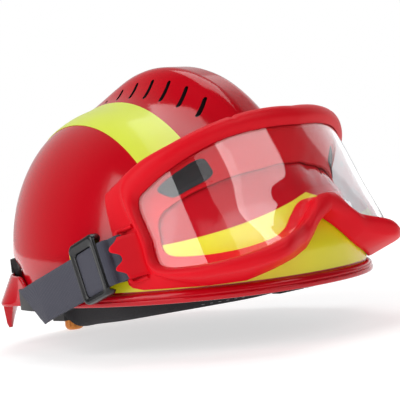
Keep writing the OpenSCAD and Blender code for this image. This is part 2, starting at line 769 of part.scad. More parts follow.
function frame_section(i) =
    let (o = open_loop[i], b = bar_loop[i], f = ring_loop[i],
        m1 = mix(o, b, 0.25), m2 = mix(o, b, 0.68), groove = mix(o, b, 0.3),
        web = mix(o, b, 0.78), lip = mix(o, b, 0.42))
    [lens_point(o[0], o[1], lens_r + seat), lens_point(m1[0], m1[1], lens_r + bar_proud * 0.8),
        lens_point(m2[0], m2[1], lens_r + bar_proud), lens_point(b[0], b[1], lens_r + bar_proud * 0.45),
        skirt_foot(b[0], b[1], frame_gap + skirt_t), skirt_foot(b[0], b[1], frame_gap),
        off_shell(lens_point(web[0], web[1], lens_r - 2), frame_gap),
        off_shell(lens_point(lip[0], lip[1], lens_r - lens_t - 3), frame_gap),
        ring_foot(f[0], f[1], frame_gap), ring_foot(f[0], f[1], frame_gap + ring_t),
        off_shell(lens_point(o[0], o[1], lens_r - lens_t - 3), frame_gap + lip_t),
        lens_point(o[0], o[1], lens_r - lens_t - seat),
        lens_point(groove[0], groove[1], lens_r - lens_t - seat), lens_point(groove[0], groove[1], lens_r + seat)];

// The box round the whole helmet is centred front to back
frame_front = max([for (i = [0:len(open_loop) - 1]) max([for (p = frame_section(i)) p.x])]);
centre_x = (half_l + flange_flare - frame_front) / 2;

module goggle_frame() {
    color(frame_red) place() {
        swept_solid([for (i = [0:len(open_loop) - 1]) frame_section(i)]);
        strap_lug();
        mirror([0, 1, 0]) strap_lug();
    }
}

// The lens is ruled between matching points of its upper and lower edge
lens_edge_in = 0.25;
function lens_edge(i) = mix(open_loop[i], bar_loop[i], lens_edge_in);

module goggle_lens() {
    half = len(open_loop) / 2;
    quarter = half / 2;
    rows = 6;
    columns = [for (i = [-quarter + 1:quarter - 1]) i];
    function at(i, j, r) =
        let (n = len(open_loop), top = lens_edge((i + n) % n), low = lens_edge((half - i + n) % n),
            e = mix(top, low, j / rows))
        lens_point(e[0], e[1], r);
    color([0.85, 0.9, 0.95, 0.35]) place() sheet_solid(
        [for (i = columns) [for (j = [0:rows]) at(i, j, lens_r)]],
        [for (i = columns) [for (j = [0:rows]) at(i, j, lens_r - lens_t)]]);
}

// Dark vents on the inner wall under the brow
vent_from = floor(2.7 * frame_steps);
vent_to = 4 * frame_steps;
vent_t = 2;
vent_gap = 2.2;

module goggle_vent(side) {
    rows = 3;
    drop = [sin(lens_tilt), 0, -cos(lens_tilt)];
    function at(i, j, gap) =
        let (s = frame_section(i), p = mix(s[10], s[9], mix(0.2, 0.7, j / rows)))
        p + drop * gap;
    place() mirror([0, side, 0]) sheet_solid(
        [for (i = [vent_from:vent_to]) [for (j = [0:rows]) at(i, j, vent_gap + vent_t)]],
        [for (i = [vent_from:vent_to]) [for (j = [0:rows]) at(i, j, vent_gap)]]);
}

module goggle_vent_right() {
    color(black) goggle_vent(0);
}

module goggle_vent_left() {
    color(black) goggle_vent(1);
}

// Strap of the goggles: a loop round the lug's bar, both layers through the slider, and a loose tail
slider_x = 39;
slider_z = 25.3;
slider_rise = 3;
slider_y = -115.2;
slider_edge = 4.6;
lug_s = 26;
lug_y = -111.4;
lug_d = 3;
bar_t = 1.5;
layer_gap = 0.4;
inner_y = slider_y - bar_t - layer_gap - strap_t / 2;
outer_y = inner_y - strap_t - layer_gap;
loop_r = lug_d / 2 + 0.25 + strap_t / 2;
tail_end = -75;
tail_cut = 9;
hook_grow = bead_out + seat;
hook_t = 1.8;
hook_s = -79;

// A point in the plane of the strap: along it, across it, and sideways from the helmet
function strap_point(s, w, y) =
    [slider_x + s * cos(strap_slope) - w * sin(strap_slope), y,
        slider_z + s * sin(strap_slope) + w * cos(strap_slope)];
function bead_y(s) =
    let (x = strap_point(s, 0, 0).x)
    -(half_w + bead_out) * pow(1 - pow(abs(x) / (half_l + bead_out), plan_power), 1 / plan_power);
strap_rear = -hook_t - 2 * seat - strap_t / 2;
strap_route = concat(
    [[hook_s, bead_y(hook_s) + strap_rear - 0.5], [-70, bead_y(-70) + strap_rear - 0.2], [-56, inner_y - 1],
        [-40, inner_y - 0.6], [-16, inner_y], [16, inner_y], [lug_s - 5, lug_y + loop_r - 1.6]],
    [for (a = [90:-22.5:-90]) [lug_s + loop_r * cos(a), lug_y + loop_r * sin(a)]],
    [[lug_s - 5, lug_y - loop_r - 1.2], [16, outer_y], [-16, outer_y], [-40, outer_y - 0.8],
        [-60, outer_y - 1.4], [tail_end, outer_y - 0.8]]);

module goggle_strap(side) {
    n = len(strap_route);
    place() mirror([0, side, 0]) swept_solid([
        for (i = [0:n - 1])
            let (p = strap_route[i], d = strap_route[min(n - 1, i + 1)] - strap_route[max(0, i - 1)],
                q = [d.y, -d.x] / norm(d) * strap_t / 2, cut = i == 0 || i == n - 1 ? tail_cut : 0)
            [strap_point(p.x + q.x - cut, strap_w / 2, p.y + q.y), strap_point(p.x - q.x - cut, strap_w / 2, p.y - q.y),
                strap_point(p.x - q.x + cut, -strap_w / 2, p.y - q.y),
                strap_point(p.x + q.x + cut, -strap_w / 2, p.y + q.y)]], ring = false);
}

module goggle_strap_right() {
    color(slate) goggle_strap(0);
}

module goggle_strap_left() {
    color(slate) goggle_strap(1);
}

module slider(side) {
    opening = strap_w + 1;
    inner_l = slider_l - 2 * slider_edge;
    place() mirror([0, side, 0]) translate([slider_x, slider_y, slider_z]) rotate([90, -strap_slope, 0]) {
        difference() {
            translate([0, slider_rise, 0]) linear_extrude(slider_t) polygon(rounded_rect(slider_l, slider_h, 4));
            translate([0, 0, -1]) linear_extrude(slider_t + 2) polygon(rounded_rect(inner_l, opening, 1.5));
            translate([-slider_l, -opening / 2, -1]) cube([2 * slider_l, opening, 1 + slider_t - 1.6]);
        }
        translate([-2, -opening / 2 - 1, 0]) cube([4, opening + 2, bar_t]);
    }
}

module slider_right() {
    color(black) slider(0);
}

module slider_left() {
    color(black) slider(1);
}

// Lugs on the sides of the frame, each a bar that carries the strap
module strap_lug() {
    lug_w = strap_w + 6;
    module end(s, w, y) {
        translate(strap_point(s, w, y)) sphere(d = lug_d, $fn = 8);
    }
    hull() {
        end(lug_s, -lug_w / 2, lug_y);
        end(lug_s, lug_w / 2, lug_y);
    }
    for (w = [-1, 1]) hull() {
        end(lug_s, w * lug_w / 2, lug_y);
        end(lug_s + 2, w * lug_w / 2, lug_y + 7);
        end(lug_s + 10, w * lug_w / 2, lug_y + 7);
    }
    hull() {
        end(lug_s + 4, -lug_w / 2, lug_y + 7);
        end(lug_s + 4, lug_w / 2, lug_y + 7);
    }
}

module strap_hook(side) {
    phi = 180 + 71;
    o = hook_grow;
    place() mirror([0, side, 0]) rim_strip(phi, 5, [[o + hook_t, bead_h + 5], [o, bead_h + 5], [o, -seat],
        [o - 7, -seat], [o - 7, -seat - 2], [o + hook_t, -seat - 2]]);
}

module strap_hook_right() {
    color(black) strap_hook(0);
}

module strap_hook_left() {
    color(black) strap_hook(1);
}

shell();
stripe_top_right();
stripe_top_left();
stripe_front();
impact_liner();
crown_straps();
crown_pad();
headband();
sweatband();
suspension_clips();
ratchet_housing();
ratchet_knob();
ratchet_pinion();
nape_arm_right();
nape_arm_left();
nape_pad();
chin_anchor_right();
chin_anchor_left();
chin_strap_right();
chin_strap_left();
chin_buckle_socket();
chin_buckle_plug();
strap_clip_right();
strap_clip_left();
goggle_frame();
goggle_lens();
goggle_vent_right();
goggle_vent_left();
goggle_strap_right();
goggle_strap_left();
slider_right();
slider_left();
strap_hook_right();
strap_hook_left();
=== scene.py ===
# %% [markdown]
# # A vented rescue helmet
#
# The real thing is a glossy red shell with a raised, slotted crest, reflective film round it, a flared
# lip at the nape, a harness inside, and clear goggles that are parked on the brow by two elastic straps.
# The measured solids come from the packed model. This file dresses them: most visible pieces are built
# again as a smooth mesh from the same formulas, the rest keep their solid, and they get finishes made of
# shader nodes.

# %% The frame
import json
import math

import bmesh
import bpy
import numpy as np
from mathutils import Matrix, Vector


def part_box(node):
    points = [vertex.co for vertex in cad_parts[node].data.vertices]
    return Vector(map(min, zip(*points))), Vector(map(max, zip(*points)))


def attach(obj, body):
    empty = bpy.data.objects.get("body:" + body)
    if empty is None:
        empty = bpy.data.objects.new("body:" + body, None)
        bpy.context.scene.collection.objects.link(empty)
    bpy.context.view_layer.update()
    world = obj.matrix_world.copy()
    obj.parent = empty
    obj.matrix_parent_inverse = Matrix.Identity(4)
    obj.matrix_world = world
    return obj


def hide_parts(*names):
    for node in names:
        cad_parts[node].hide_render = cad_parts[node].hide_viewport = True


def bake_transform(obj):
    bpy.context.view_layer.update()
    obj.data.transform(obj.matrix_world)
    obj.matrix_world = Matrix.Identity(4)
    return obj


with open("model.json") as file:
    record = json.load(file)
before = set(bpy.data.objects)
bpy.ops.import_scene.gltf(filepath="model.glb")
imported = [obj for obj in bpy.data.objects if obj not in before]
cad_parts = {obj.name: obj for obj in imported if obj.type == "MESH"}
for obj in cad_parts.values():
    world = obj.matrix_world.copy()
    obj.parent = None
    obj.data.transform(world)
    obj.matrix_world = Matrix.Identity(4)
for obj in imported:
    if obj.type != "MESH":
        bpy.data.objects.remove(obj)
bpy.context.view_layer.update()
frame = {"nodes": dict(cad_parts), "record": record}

# %% [markdown]
# ## Where things are
#
# Lengths are worked out in millimetres from the middle of the rim, as a maker would mark them, and
# turned into metres in the model's own frame as the very last step. The knob under the nape fixes that
# frame: its foot is at height zero, and its axis gives the offset front to back.

# %% From rim millimetres to model metres
KNOB_X = -148.2
RIM_Z = 36.0
knob_low, knob_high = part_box("ratchet_knob")
CENTRE_X = (knob_low.x + knob_high.x) * 500 - KNOB_X


def metres(points):
    """Points in millimetres about the middle of the rim, as metres in the model's frame."""
    return (np.asarray(points, float) + (CENTRE_X, 0.0, RIM_Z)) / 1000


def ease(value):
    value = np.clip(value, 0, 1)
    return value * value * (3 - 2 * value)


def mix(a, b, share):
    return a + (b - a) * share


print("offset of the rim's middle:", round(CENTRE_X, 2), "mm")

# %% [markdown]
# ## The form of the dome
#
# A dome like this is neither a sphere nor an ellipsoid: its plan is a slightly square oval, its side
# goes up nearly straight and then turns in, and its top sits behind the middle. It could be sculpted,
# but a formula gives the same surface to every piece that lies on it. A point is inside while its plan
# stays under a limit that shrinks with height, and halving steps find the surface along a ray from the
# rim's middle.

# %% The dome as a distance along a ray
HALF_L, HALF_W, DOME_H, PLAN = 145.5, 113.0, 143.5, 2.14
BELT_Z, TOP_BACK, WALL = 25.0, 30.0, 3.0
BEAD_H, BEAD_OUT = 8.0, 3.0
RAY_FROM, RAY_TO = 40.0, 230.0


def signed_power(value, exponent):
    return np.sign(value) * np.abs(value) ** exponent


def stack(*parts):
    return np.stack(np.broadcast_arrays(*[np.asarray(v, float) for v in parts]), -1)


def halving(low, high, held, steps):
    """Halves the step from low to high towards the place where held() turns false."""
    for _ in range(steps):
        middle = (low + high) / 2
        inside = held(middle)
        low, high = np.where(inside, middle, low), np.where(inside, high, middle)
    return middle


def rearness(x):
    """0 in front of the ears, 1 behind them."""
    return ease((-x - 62) / 25)


def tuck(x, z):
    """How much the foot of the dome draws in, more at the rear than in front."""
    return mix(0.008, 6 / HALF_L, rearness(x)) * ease((38 - z) / 16)


def dome_level(z, inset=0.0):
    """0 up to the belt, 1 at the top."""
    return np.maximum(0, (z - BELT_Z) / (DOME_H - inset - BELT_Z))


def dome_share(t):
    return (1 - np.clip(t, 0, 1) ** 1.55) ** (1 / 2.6)


def inside_dome(p, inset):
    x, y, z = p[..., 0], p[..., 1], p[..., 2]
    t = dome_level(z, inset)
    reach = np.abs((x + TOP_BACK * t) / (HALF_L - inset)) ** PLAN + np.abs(y / (HALF_W - inset)) ** PLAN
    return (t < 1) & (reach < (dome_share(t) * (1 - tuck(x, z))) ** PLAN)


def dome_reach(d, inset):
    near, far = np.full(d.shape[:-1], RAY_FROM), np.full(d.shape[:-1], RAY_TO)
    return halving(near, far, lambda r: inside_dome(d * r[..., None], inset), 25)


print("dome above the rim:", np.round(dome_reach(np.array([[0.0, 0.0, 1.0]]), 0.0)[0], 1), "mm")


# %% Points on the dome
def dome_height(x, y):
    low, high = np.full(np.shape(x), BELT_Z), np.full(np.shape(x), DOME_H)
    return halving(low, high, lambda z: inside_dome(stack(x, y, z), 0), 20)


def plan_point(phi):
    phi = np.radians(phi)
    return signed_power(np.cos(phi), 2 / PLAN), signed_power(np.sin(phi), 2 / PLAN)


def rim_point(phi, grow, z):
    c, s = plan_point(phi)
    return stack((HALF_L + grow) * c, (HALF_W + grow) * s, z)


def dome_point(phi, z):
    c, s = plan_point(phi)
    t = dome_level(z)
    k = dome_share(t) * (1 - tuck(HALF_L * c, z))
    return stack(-TOP_BACK * t + HALF_L * k * c, HALF_W * k * s, z)


print("dome's front at the belt:", np.round(dome_point(0.0, BELT_Z), 1))

# %% [markdown]
# ## The crest
#
# The crest runs over the top from brow to nape, an arc seen from the side and a wedge with a rounded top
# seen from the front. A soft maximum joins it to the dome, which makes the hollow fillet in the valley,
# and a soft minimum rounds its upper edges, just as a pattern maker fills and files them.

# %% Crest and shell together
CREST_H, CREST_REACH, CREST_W, CREST_BASE = 164.5, 122.0, 28.0, 20.0
CREST_EDGE, VALLEY, LEAN = 9.0, 16.0, math.radians(31)


def soft_max(a, b, k):
    return np.maximum(a, b) + np.maximum(k - np.abs(a - b), 0) ** 2 / (4 * k)


def soft_min(a, b, k):
    return np.minimum(a, b) - np.maximum(k - np.abs(a - b), 0) ** 2 / (4 * k)


def unit(v):
    return v / np.linalg.norm(v, axis=-1, keepdims=True)


def crest_reach(d, inset):
    """Where a ray leaves the crest: the arc is met by solving a square, the leaning side by a line."""
    h = np.hypot(d[..., 0], d[..., 2])
    c, s = d[..., 0] / h, d[..., 2] / h
    rx, rz = CREST_REACH - inset, CREST_H - CREST_BASE - inset
    q2, q1, q0 = (c / rx) ** 2 + (s / rz) ** 2, s * CREST_BASE / rz ** 2, (CREST_BASE / rz) ** 2 - 1
    arc = (q1 + np.sqrt(np.maximum(q1 * q1 - q2 * q0, 0))) / q2
    side = CREST_W / 2 - inset / math.cos(LEAN) + math.tan(LEAN) * arc
    return soft_min(arc / h, side / (np.abs(d[..., 1]) + math.tan(LEAN) * h), CREST_EDGE)


def shell_reach(d, inset=0.0):
    return soft_max(dome_reach(d, inset), crest_reach(d, inset), VALLEY)


def on_shell(p, gap):
    d = unit(np.asarray(p, float))
    return d * (shell_reach(d) + gap)[..., None]


def clearance(p):
    r = np.linalg.norm(p, axis=-1)
    return r - shell_reach(p / r[..., None])


print("crest above the rim:", round(float(shell_reach(np.array([[0.0, 0.0, 1.0]]))[0]), 1), "mm")


# %% [markdown]
# ## Two ways to make a mesh
#
# Nearly every piece here is one of two things. A sheet has a front and a back grid of points, closed
# round its edge. A sweep is one outline carried from station to station, either round in a ring or with
# its two ends capped. Both leave a closed solid, which is what a printer or a simulator wants too.

# %% Sheets and sweeps
def grid_faces(rows, cols, start=0, turn=False, ring_rows=False, ring_cols=False):
    faces = []
    for i in range(rows if ring_rows else rows - 1):
        for j in range(cols if ring_cols else cols - 1):
            a, b = start + i * cols + j, start + (i + 1) % rows * cols + j
            c, d = start + (i + 1) % rows * cols + (j + 1) % cols, start + i * cols + (j + 1) % cols
            faces.append((a, d, c, b) if turn else (a, b, c, d))
    return faces


def sheet(front, back):
    """A closed thin solid between two grids of points."""
    rows, cols = front.shape[:2]
    faces = grid_faces(rows, cols) + grid_faces(rows, cols, rows * cols, turn=True)
    border = [(0, j) for j in range(cols)] + [(i, cols - 1) for i in range(1, rows)]
    border += [(rows - 1, j) for j in range(cols - 2, -1, -1)] + [(i, 0) for i in range(rows - 2, 0, -1)]
    loop = [i * cols + j for i, j in border]
    for a, b in zip(loop, loop[1:] + loop[:1]):
        faces.append((a, b, b + rows * cols, a + rows * cols))
    return np.concatenate([front.reshape(-1, 3), back.reshape(-1, 3)]), faces


def sweep(rings, ring=False):
    """A section carried through stations, closed into a ring or capped at both ends."""
    n, m = rings.shape[:2]
    faces = grid_faces(n, m, ring_rows=ring, ring_cols=True)
    if not ring:
        faces += [tuple(range(m)), tuple(range((n - 1) * m + m - 1, (n - 1) * m - 1, -1))]
    return rings.reshape(-1, 3), faces


print("faces of a sheet of 3 by 3 points:", len(sheet(np.zeros((3, 3, 3)), np.ones((3, 3, 3)))[1]))


# %% [markdown]
# A mesh becomes a piece once it has a name, a finish and, for most pieces, a body to ride on. One
# call does all of it, in the same order for every piece.

# %% A mesh becomes a named piece
def placed(name, data):
    made = bpy.data.objects.new(name, data)
    bpy.context.scene.collection.objects.link(made)
    return made


def solid_mesh(name, shape):
    """A mesh from (points in rim millimetres, faces) with every face turned outwards."""
    points, faces = shape
    mesh = bpy.data.meshes.new(name)
    mesh.from_pydata(metres(points).tolist(), [], [tuple(f) for f in faces])
    mesh.validate()
    solid = bmesh.new()
    solid.from_mesh(mesh)
    bmesh.ops.recalc_face_normals(solid, faces=solid.faces)
    solid.to_mesh(mesh)
    solid.free()
    return mesh


def piece(name, shape, body, finish, stands_for=(), flow=None, crease=40, rides=True):
    """Makes the object, gives it a finish and seats it on its body."""
    mesh = solid_mesh(name, shape)
    mesh.shade_smooth()
    mesh.set_sharp_from_angle(angle=math.radians(crease))
    made = placed(name, mesh)
    if flow is not None:
        lay = mesh.attributes.new("lay", "FLOAT_VECTOR", "POINT")
        lay.data.foreach_set("vector", (np.asarray(flow, float) / 1000).astype(np.float32).ravel())
    mesh.materials.append(finish.material)
    if stands_for:
        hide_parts(*stands_for)
    if rides:
        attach(made, body)
    print("%s: %d points on %s" % (name, len(mesh.vertices), body))
    return made


# %% [markdown]
# ## Shader maths
#
# A finish is a small program made of nodes. Written out by hand, three nodes for one sum hide what it
# says, so a socket is wrapped in a class that knows plus, minus, times and over. Then a mask reads as a
# formula.

# %% A wire that does sums
class Wire:
    """A value in a finish. Adding, multiplying or comparing it adds the Math node that does so."""

    def __init__(self, finish, socket):
        self.finish, self.socket = finish, socket

    def maths(self, operation, *values):
        return self.finish.node("Math", {"operation": operation}, dict(enumerate(values)))

    def __add__(self, other):
        return self.maths("ADD", self, other)

    __radd__ = __add__

    def __sub__(self, other):
        return self.maths("SUBTRACT", self, other)

    def __rsub__(self, other):
        return self.maths("SUBTRACT", other, self)

    def __mul__(self, other):
        return self.maths("MULTIPLY", self, other)

    __rmul__ = __mul__

    def __truediv__(self, other):
        return self.maths("DIVIDE", self, other)

    def __rtruediv__(self, other):
        return self.maths("DIVIDE", other, self)

    def __lt__(self, other):
        return self.maths("LESS_THAN", self, other)

    def wave(self):
        return self.maths("SINE", self)


print(Wire.__doc__)


# %% A finish
class Finish:
    """One material and its slot, with its constants on the shader. A world is wired in the same way."""

    def __init__(self, name, slot="", store=None, kind="BSDF_PRINCIPLED", **constants):
        self.slot = slot
        self.material = (bpy.data.materials if store is None else store).new(name)
        self.material.use_nodes = True
        self.tree = self.material.node_tree
        self.shader = next(n for n in self.tree.nodes if n.type == kind)
        for socket, value in constants.items():
            self.feeds(socket.replace("_", " "), value)
        print("finish:", name)

    def node(self, kind, settings, sockets, out=0):
        made = self.tree.nodes.new("ShaderNode" + kind)
        for key, value in settings.items():
            if key == "stops":
                ramp = made.color_ramp
                while len(ramp.elements) < len(value):
                    ramp.elements.new(0.5)
                for element, (place, grey) in zip(ramp.elements, value):
                    element.position, element.color = place, (grey, grey, grey, 1)
            else:
                setattr(made, key, value)
        for key, value in sockets.items():
            self.join(value, made.inputs[key])
        return Wire(self, made.outputs[out])

    def join(self, value, socket):
        if isinstance(value, Wire):
            self.tree.links.new(value.socket, socket)
        else:
            socket.default_value = (*value, 1.0) if socket.type == "RGBA" else value

    def feeds(self, socket, value):
        self.join(value, self.shader.inputs[socket])

    def place(self):
        """Where a point is on the piece, in metres. It moves with the piece."""
        return self.node("TexCoord", {}, {}, "Object")

    def lay(self):
        """Along, across and through a strap, in metres, as its mesh says."""
        return self.node("Attribute", {"attribute_name": "lay"}, {}, "Vector")

    def part(self, vector, axis):
        return self.node("SeparateXYZ", {}, {0: vector}, axis)

    def noise(self, vector, scale, detail=3.0, roughness=0.5):
        sockets = {"Vector": vector, "Scale": scale, "Detail": detail, "Roughness": roughness}
        return self.node("TexNoise", {}, sockets)

    def cells(self, vector, scale, **settings):
        return self.node("TexVoronoi", settings, {"Vector": vector, "Scale": scale})

    def ramp(self, value, *stops):
        """Grey levels between places, as a curve from one value to another."""
        return self.node("ValToRGB", {"stops": stops}, {0: value})

    def tint(self, share, a, b):
        """One colour turning into another."""
        return self.node("Mix", {"data_type": "RGBA"}, {0: share, 6: a, 7: b}, 2)

    def mottled(self, share, low, high):
        """Lets the base colour drift between two close ones."""
        self.feeds("Base Color", self.tint(share, low, high))

    def bumped(self, height, distance):
        sockets = {"Height": height, "Distance": distance, "Strength": 1.0}
        self.feeds("Normal", self.node("Bump", {}, sockets))


# %% [markdown]
# ## The camera and the light
#
# The camera stands where the photographer's did: low, in front of the wearer's right cheek, a little
# tilted. The lens was found by fitting the rim, the crest and the goggles to the picture.

# %% Camera
AZIMUTH, ELEVATION, ROLL = math.radians(42), math.radians(0.67), math.radians(6.65)
DISTANCE, AIM_Z, SHIFT = 0.9209, 70, (0.057, -0.0185)
level_out = math.cos(ELEVATION)
back = Vector((math.cos(AZIMUTH) * level_out, -math.sin(AZIMUTH) * level_out, math.sin(ELEVATION)))
level_right = Vector((math.sin(AZIMUTH), math.cos(AZIMUTH), 0))
level_up = back.cross(level_right)
right = math.cos(ROLL) * level_right - math.sin(ROLL) * level_up
up = math.sin(ROLL) * level_right + math.cos(ROLL) * level_up
camera = placed("camera", bpy.data.cameras.new("camera"))
camera.data.lens, camera.data.sensor_width = 109.7, 36.0
camera.data.shift_x, camera.data.shift_y = SHIFT
camera.data.clip_start, camera.data.clip_end = 0.05, 50
aim = Vector((CENTRE_X / 1000, 0, (RIM_Z + AIM_Z) / 1000))
facing = Matrix((right, up, back)).transposed().to_4x4()
camera.matrix_world = Matrix.Translation(aim + back * DISTANCE) @ facing
bpy.context.scene.camera = camera
print("camera at", [round(v, 3) for v in camera.matrix_world.translation])

# %% [markdown]
# The picture was taken on a white sweep, with tall soft boxes whose images lie on the lens as pale
# panels. Gloss only looks deep where it mirrors something dark, so the sky here is white behind the
# helmet, as the sweep was, and dimmer on the photographer's side. Each soft box is placed where the lens
# needs its image.

# %% Floor and sky
bpy.context.scene.view_settings.view_transform = "Standard"
FLOOR_HALF = 8
floor_paper = Finish("floor_paper", Roughness=0.9, Emission_Strength=1.0)
spot = floor_paper.place()
floor_paper.mottled(floor_paper.noise(spot, 40.0), (0.54, 0.54, 0.54), (0.57, 0.57, 0.57))
distance = floor_paper.node("VectorMath", {"operation": "LENGTH"}, {0: spot}, "Value")
floor_paper.feeds("Emission Color", floor_paper.ramp(distance / 4.0, (0.1, 0.62), (0.6, 1.0)))
floor_mesh = bpy.data.meshes.new("floor")
corners = [(FLOOR_HALF * x, FLOOR_HALF * y, 0) for x, y in ((-1, -1), (1, -1), (1, 1), (-1, 1))]
floor_mesh.from_pydata(corners, [], [(0, 1, 2, 3)])
floor_mesh.materials.append(floor_paper.material)
floor = placed("floor", floor_mesh)

# The camera sees the sky white, and the lens shows it dimly white near the level. It lights from behind.
sky = Finish("studio_sky", store=bpy.data.worlds, kind="BACKGROUND")
direction = sky.node("TexCoord", {}, {}, "Generated")
ahead = (-back.x, -back.y, 0.0)
away = sky.node("VectorMath", {"operation": "DOT_PRODUCT"}, {0: direction, 1: ahead}, "Value")
sweep_light = sky.ramp(away * 0.5 + 0.5, (0.55, 0.06), (0.93, 0.6))
through_lens = sky.node("LightPath", {}, {}, "Is Transmission Ray") * (sky.part(direction, 2) < 0.15)
seen = sky.node("LightPath", {}, {}, "Is Camera Ray") + through_lens * 0.3
sky.feeds("Color", sky.tint(seen, sweep_light, (1, 1, 1)))
bpy.context.scene.world = sky.material


# %% Soft boxes
def soft_box(name, azimuth, height, distance, size, brightness, fills=True, shows=True):
    """An area lamp that faces the helmet. Its power comes from how bright its face should look.
    One that doesn't fill only gives its image in the gloss, and one that doesn't show only fills."""
    lamp = bpy.data.lights.new(name, "AREA")
    lamp.shape, lamp.size, lamp.size_y = "RECTANGLE", *size
    lamp.energy = brightness * math.pi * size[0] * size[1]
    made = placed(name, lamp)
    made.visible_diffuse, made.visible_glossy = fills, shows
    turn = math.radians(azimuth)
    made.location = (distance * math.cos(turn), distance * math.sin(turn), height)
    made.rotation_euler = (Vector((0, 0, 0.12)) - made.location).to_track_quat("-Z", "Y").to_euler()
    print("%s: %.1f W" % (name, lamp.energy))


soft_box("side_box", -100, 1.15, 1.9, (1.55, 1.9), 3.2)
soft_box("brow_box", -5, 1.45, 1.5, (1.5, 0.8), 3.6, fills=False)
soft_box("far_box", 94, 0.95, 1.9, (1.85, 1.6), 0.8)
soft_box("front_fill", -40, 1.6, 2.2, (1.2, 1.2), 1.8, shows=False)
soft_box("top_box", 135, 1.9, 0.35, (1.2, 1.2), 2.8)

# %% [markdown]
# ## The finishes
#
# Gel-coated red shell: the colour hardly varies, but the skin has a faint waviness, and fine hairlines
# where it was wiped. Both are too small to model, so they go into the normal and the roughness. The
# goggle frame is a softer, duller rubber with a fine grain.

# %% Shell finish
shell_coat = Finish("shell_red", "shell_red", Roughness=0.14, Specular_IOR_Level=0.36)
spot = shell_coat.place()
shell_coat.mottled(shell_coat.noise(spot, 9.0, 2.0), (0.50, 0.0015, 0.008), (0.56, 0.002, 0.012))
wiped = shell_coat.node("VectorMath", {"operation": "MULTIPLY"}, {0: spot, 1: (900.0, 60.0, 300.0)})
worn = shell_coat.ramp(shell_coat.noise(wiped, 1.0, 4.0, 0.7), (0.60, 0.0), (0.75, 1.0))
shell_coat.feeds("Roughness", 0.12 + worn * 0.10)
shell_coat.bumped(shell_coat.noise(spot, 260.0, 2.0) + worn * 0.25, 0.00003)

# %% Goggle frame finish
soft_red = Finish("frame_red", "frame_red", Roughness=0.34, Specular_IOR_Level=0.12)
spot = soft_red.place()
soft_red.mottled(soft_red.noise(spot, 14.0, 2.0), (0.72, 0.004, 0.012), (0.80, 0.006, 0.018))
soft_red.feeds("Roughness", 0.34 + soft_red.noise(spot, 30.0, 3.0) * 0.16)
soft_red.bumped(soft_red.noise(spot, 1400.0, 2.0), 0.00002)


# %% [markdown]
# Reflective film holds glass beads under a clear coat. Seen close, the beads roughen its skin a little,
# and its gloss comes and goes in patches.

# %% Reflective film finish
def film_finish(name, low, high):
    film = Finish(name, name, Roughness=0.38, Coat_Weight=0.35, Coat_Roughness=0.12)
    spot = film.place()
    film.mottled(film.noise(spot, 18.0), low, high)
    film.feeds("Roughness", 0.3 + film.noise(spot, 60.0) * 0.2)
    film.bumped(film.cells(spot, 2600.0) + film.noise(spot, 120.0) * 2.0, 0.00003)
    return film


lime_film = film_finish("film_lime", (0.70, 0.80, 0.035), (0.76, 0.86, 0.045))
yellow_film = film_finish("film_yellow", (0.84, 0.77, 0.004), (0.90, 0.83, 0.006))


# %% [markdown]
# Injection-moulded plastic keeps the spark-eroded grain of its mould, and its colour and gloss drift a
# little. One function makes them all, and only the colour, the gloss and the grain differ.

# %% Black mouldings and the knob
def moulded(name, slot, low, high, roughness, grain_scale=900.0, grain_depth=0.00004, coat=0.0):
    skin = Finish(name, slot, Roughness=roughness, Coat_Weight=coat, Coat_Roughness=0.1)
    spot = skin.place()
    skin.mottled(skin.noise(spot, 35.0), low, high)
    skin.feeds("Roughness", roughness - 0.06 + skin.noise(spot, 80.0) * 0.14)
    skin.bumped(skin.noise(spot, grain_scale, 2.0), grain_depth)
    return skin


satin_black_and_slot_shade = moulded("black_plastic", "black_plastic", (0.008, 0.008, 0.009), (0.016, 0.016, 0.018), 0.45)
gloss_black = moulded("slider_black", "black_plastic", (0.004, 0.004, 0.005), (0.009, 0.009, 0.010), 0.24,
                      grain_depth=0.00001)
knob_plastic = moulded("knob_orange", "knob_orange", (0.62, 0.19, 0.006), (0.74, 0.25, 0.010), 0.35,
                       coat=0.3)


# %% [markdown]
# Straps are woven. Warp threads run along the strap and the weft crosses over and under them, so the
# height of the surface is one wave along times one across. The strap's mesh carries its own length and
# width as an attribute, which keeps the threads square to its edges round every bend.

# %% Woven finishes
def woven(name, slot, low, high, thread, ribs):
    cloth = Finish(name, slot, Roughness=0.82, Sheen_Weight=0.25, Sheen_Roughness=0.5)
    lay = cloth.lay()
    warp = (cloth.part(lay, 1) * (2 * math.pi / thread)).wave()
    weft = (cloth.part(lay, 0) * (2 * math.pi / ribs)).wave()
    height = warp * weft * 0.5 + 0.5 + weft * 0.2
    fuzz = cloth.noise(lay, 2500.0, 2.0)
    # The colour darkens where the weave sinks, a painted shade in the hollows between threads; the fuzz is
    # the yarn's own random drift.
    cloth.mottled(height * 0.7 + fuzz * 0.3, low, high)
    cloth.bumped(height + fuzz * 0.4, 0.00018)
    return cloth


slate_elastic = woven("strap_slate", "strap_slate", (0.026, 0.026, 0.044), (0.052, 0.052, 0.078),
                      0.0011, 0.0016)
black_web = woven("black_webbing", "black_webbing", (0.008, 0.008, 0.010), (0.024, 0.024, 0.028),
                  0.0012, 0.0018)

# %% [markdown]
# The lens is clear moulded polycarbonate two millimetres thick. It is clean in the picture, so nothing
# varies over it, and its transmission and index are constants on the shader.

# %% Lens finish
lens_clear = Finish("lens_clear", "lens_clear", Base_Color=(0.95, 0.96, 0.98), Roughness=0.0, IOR=1.5,
                    Transmission_Weight=1.0)
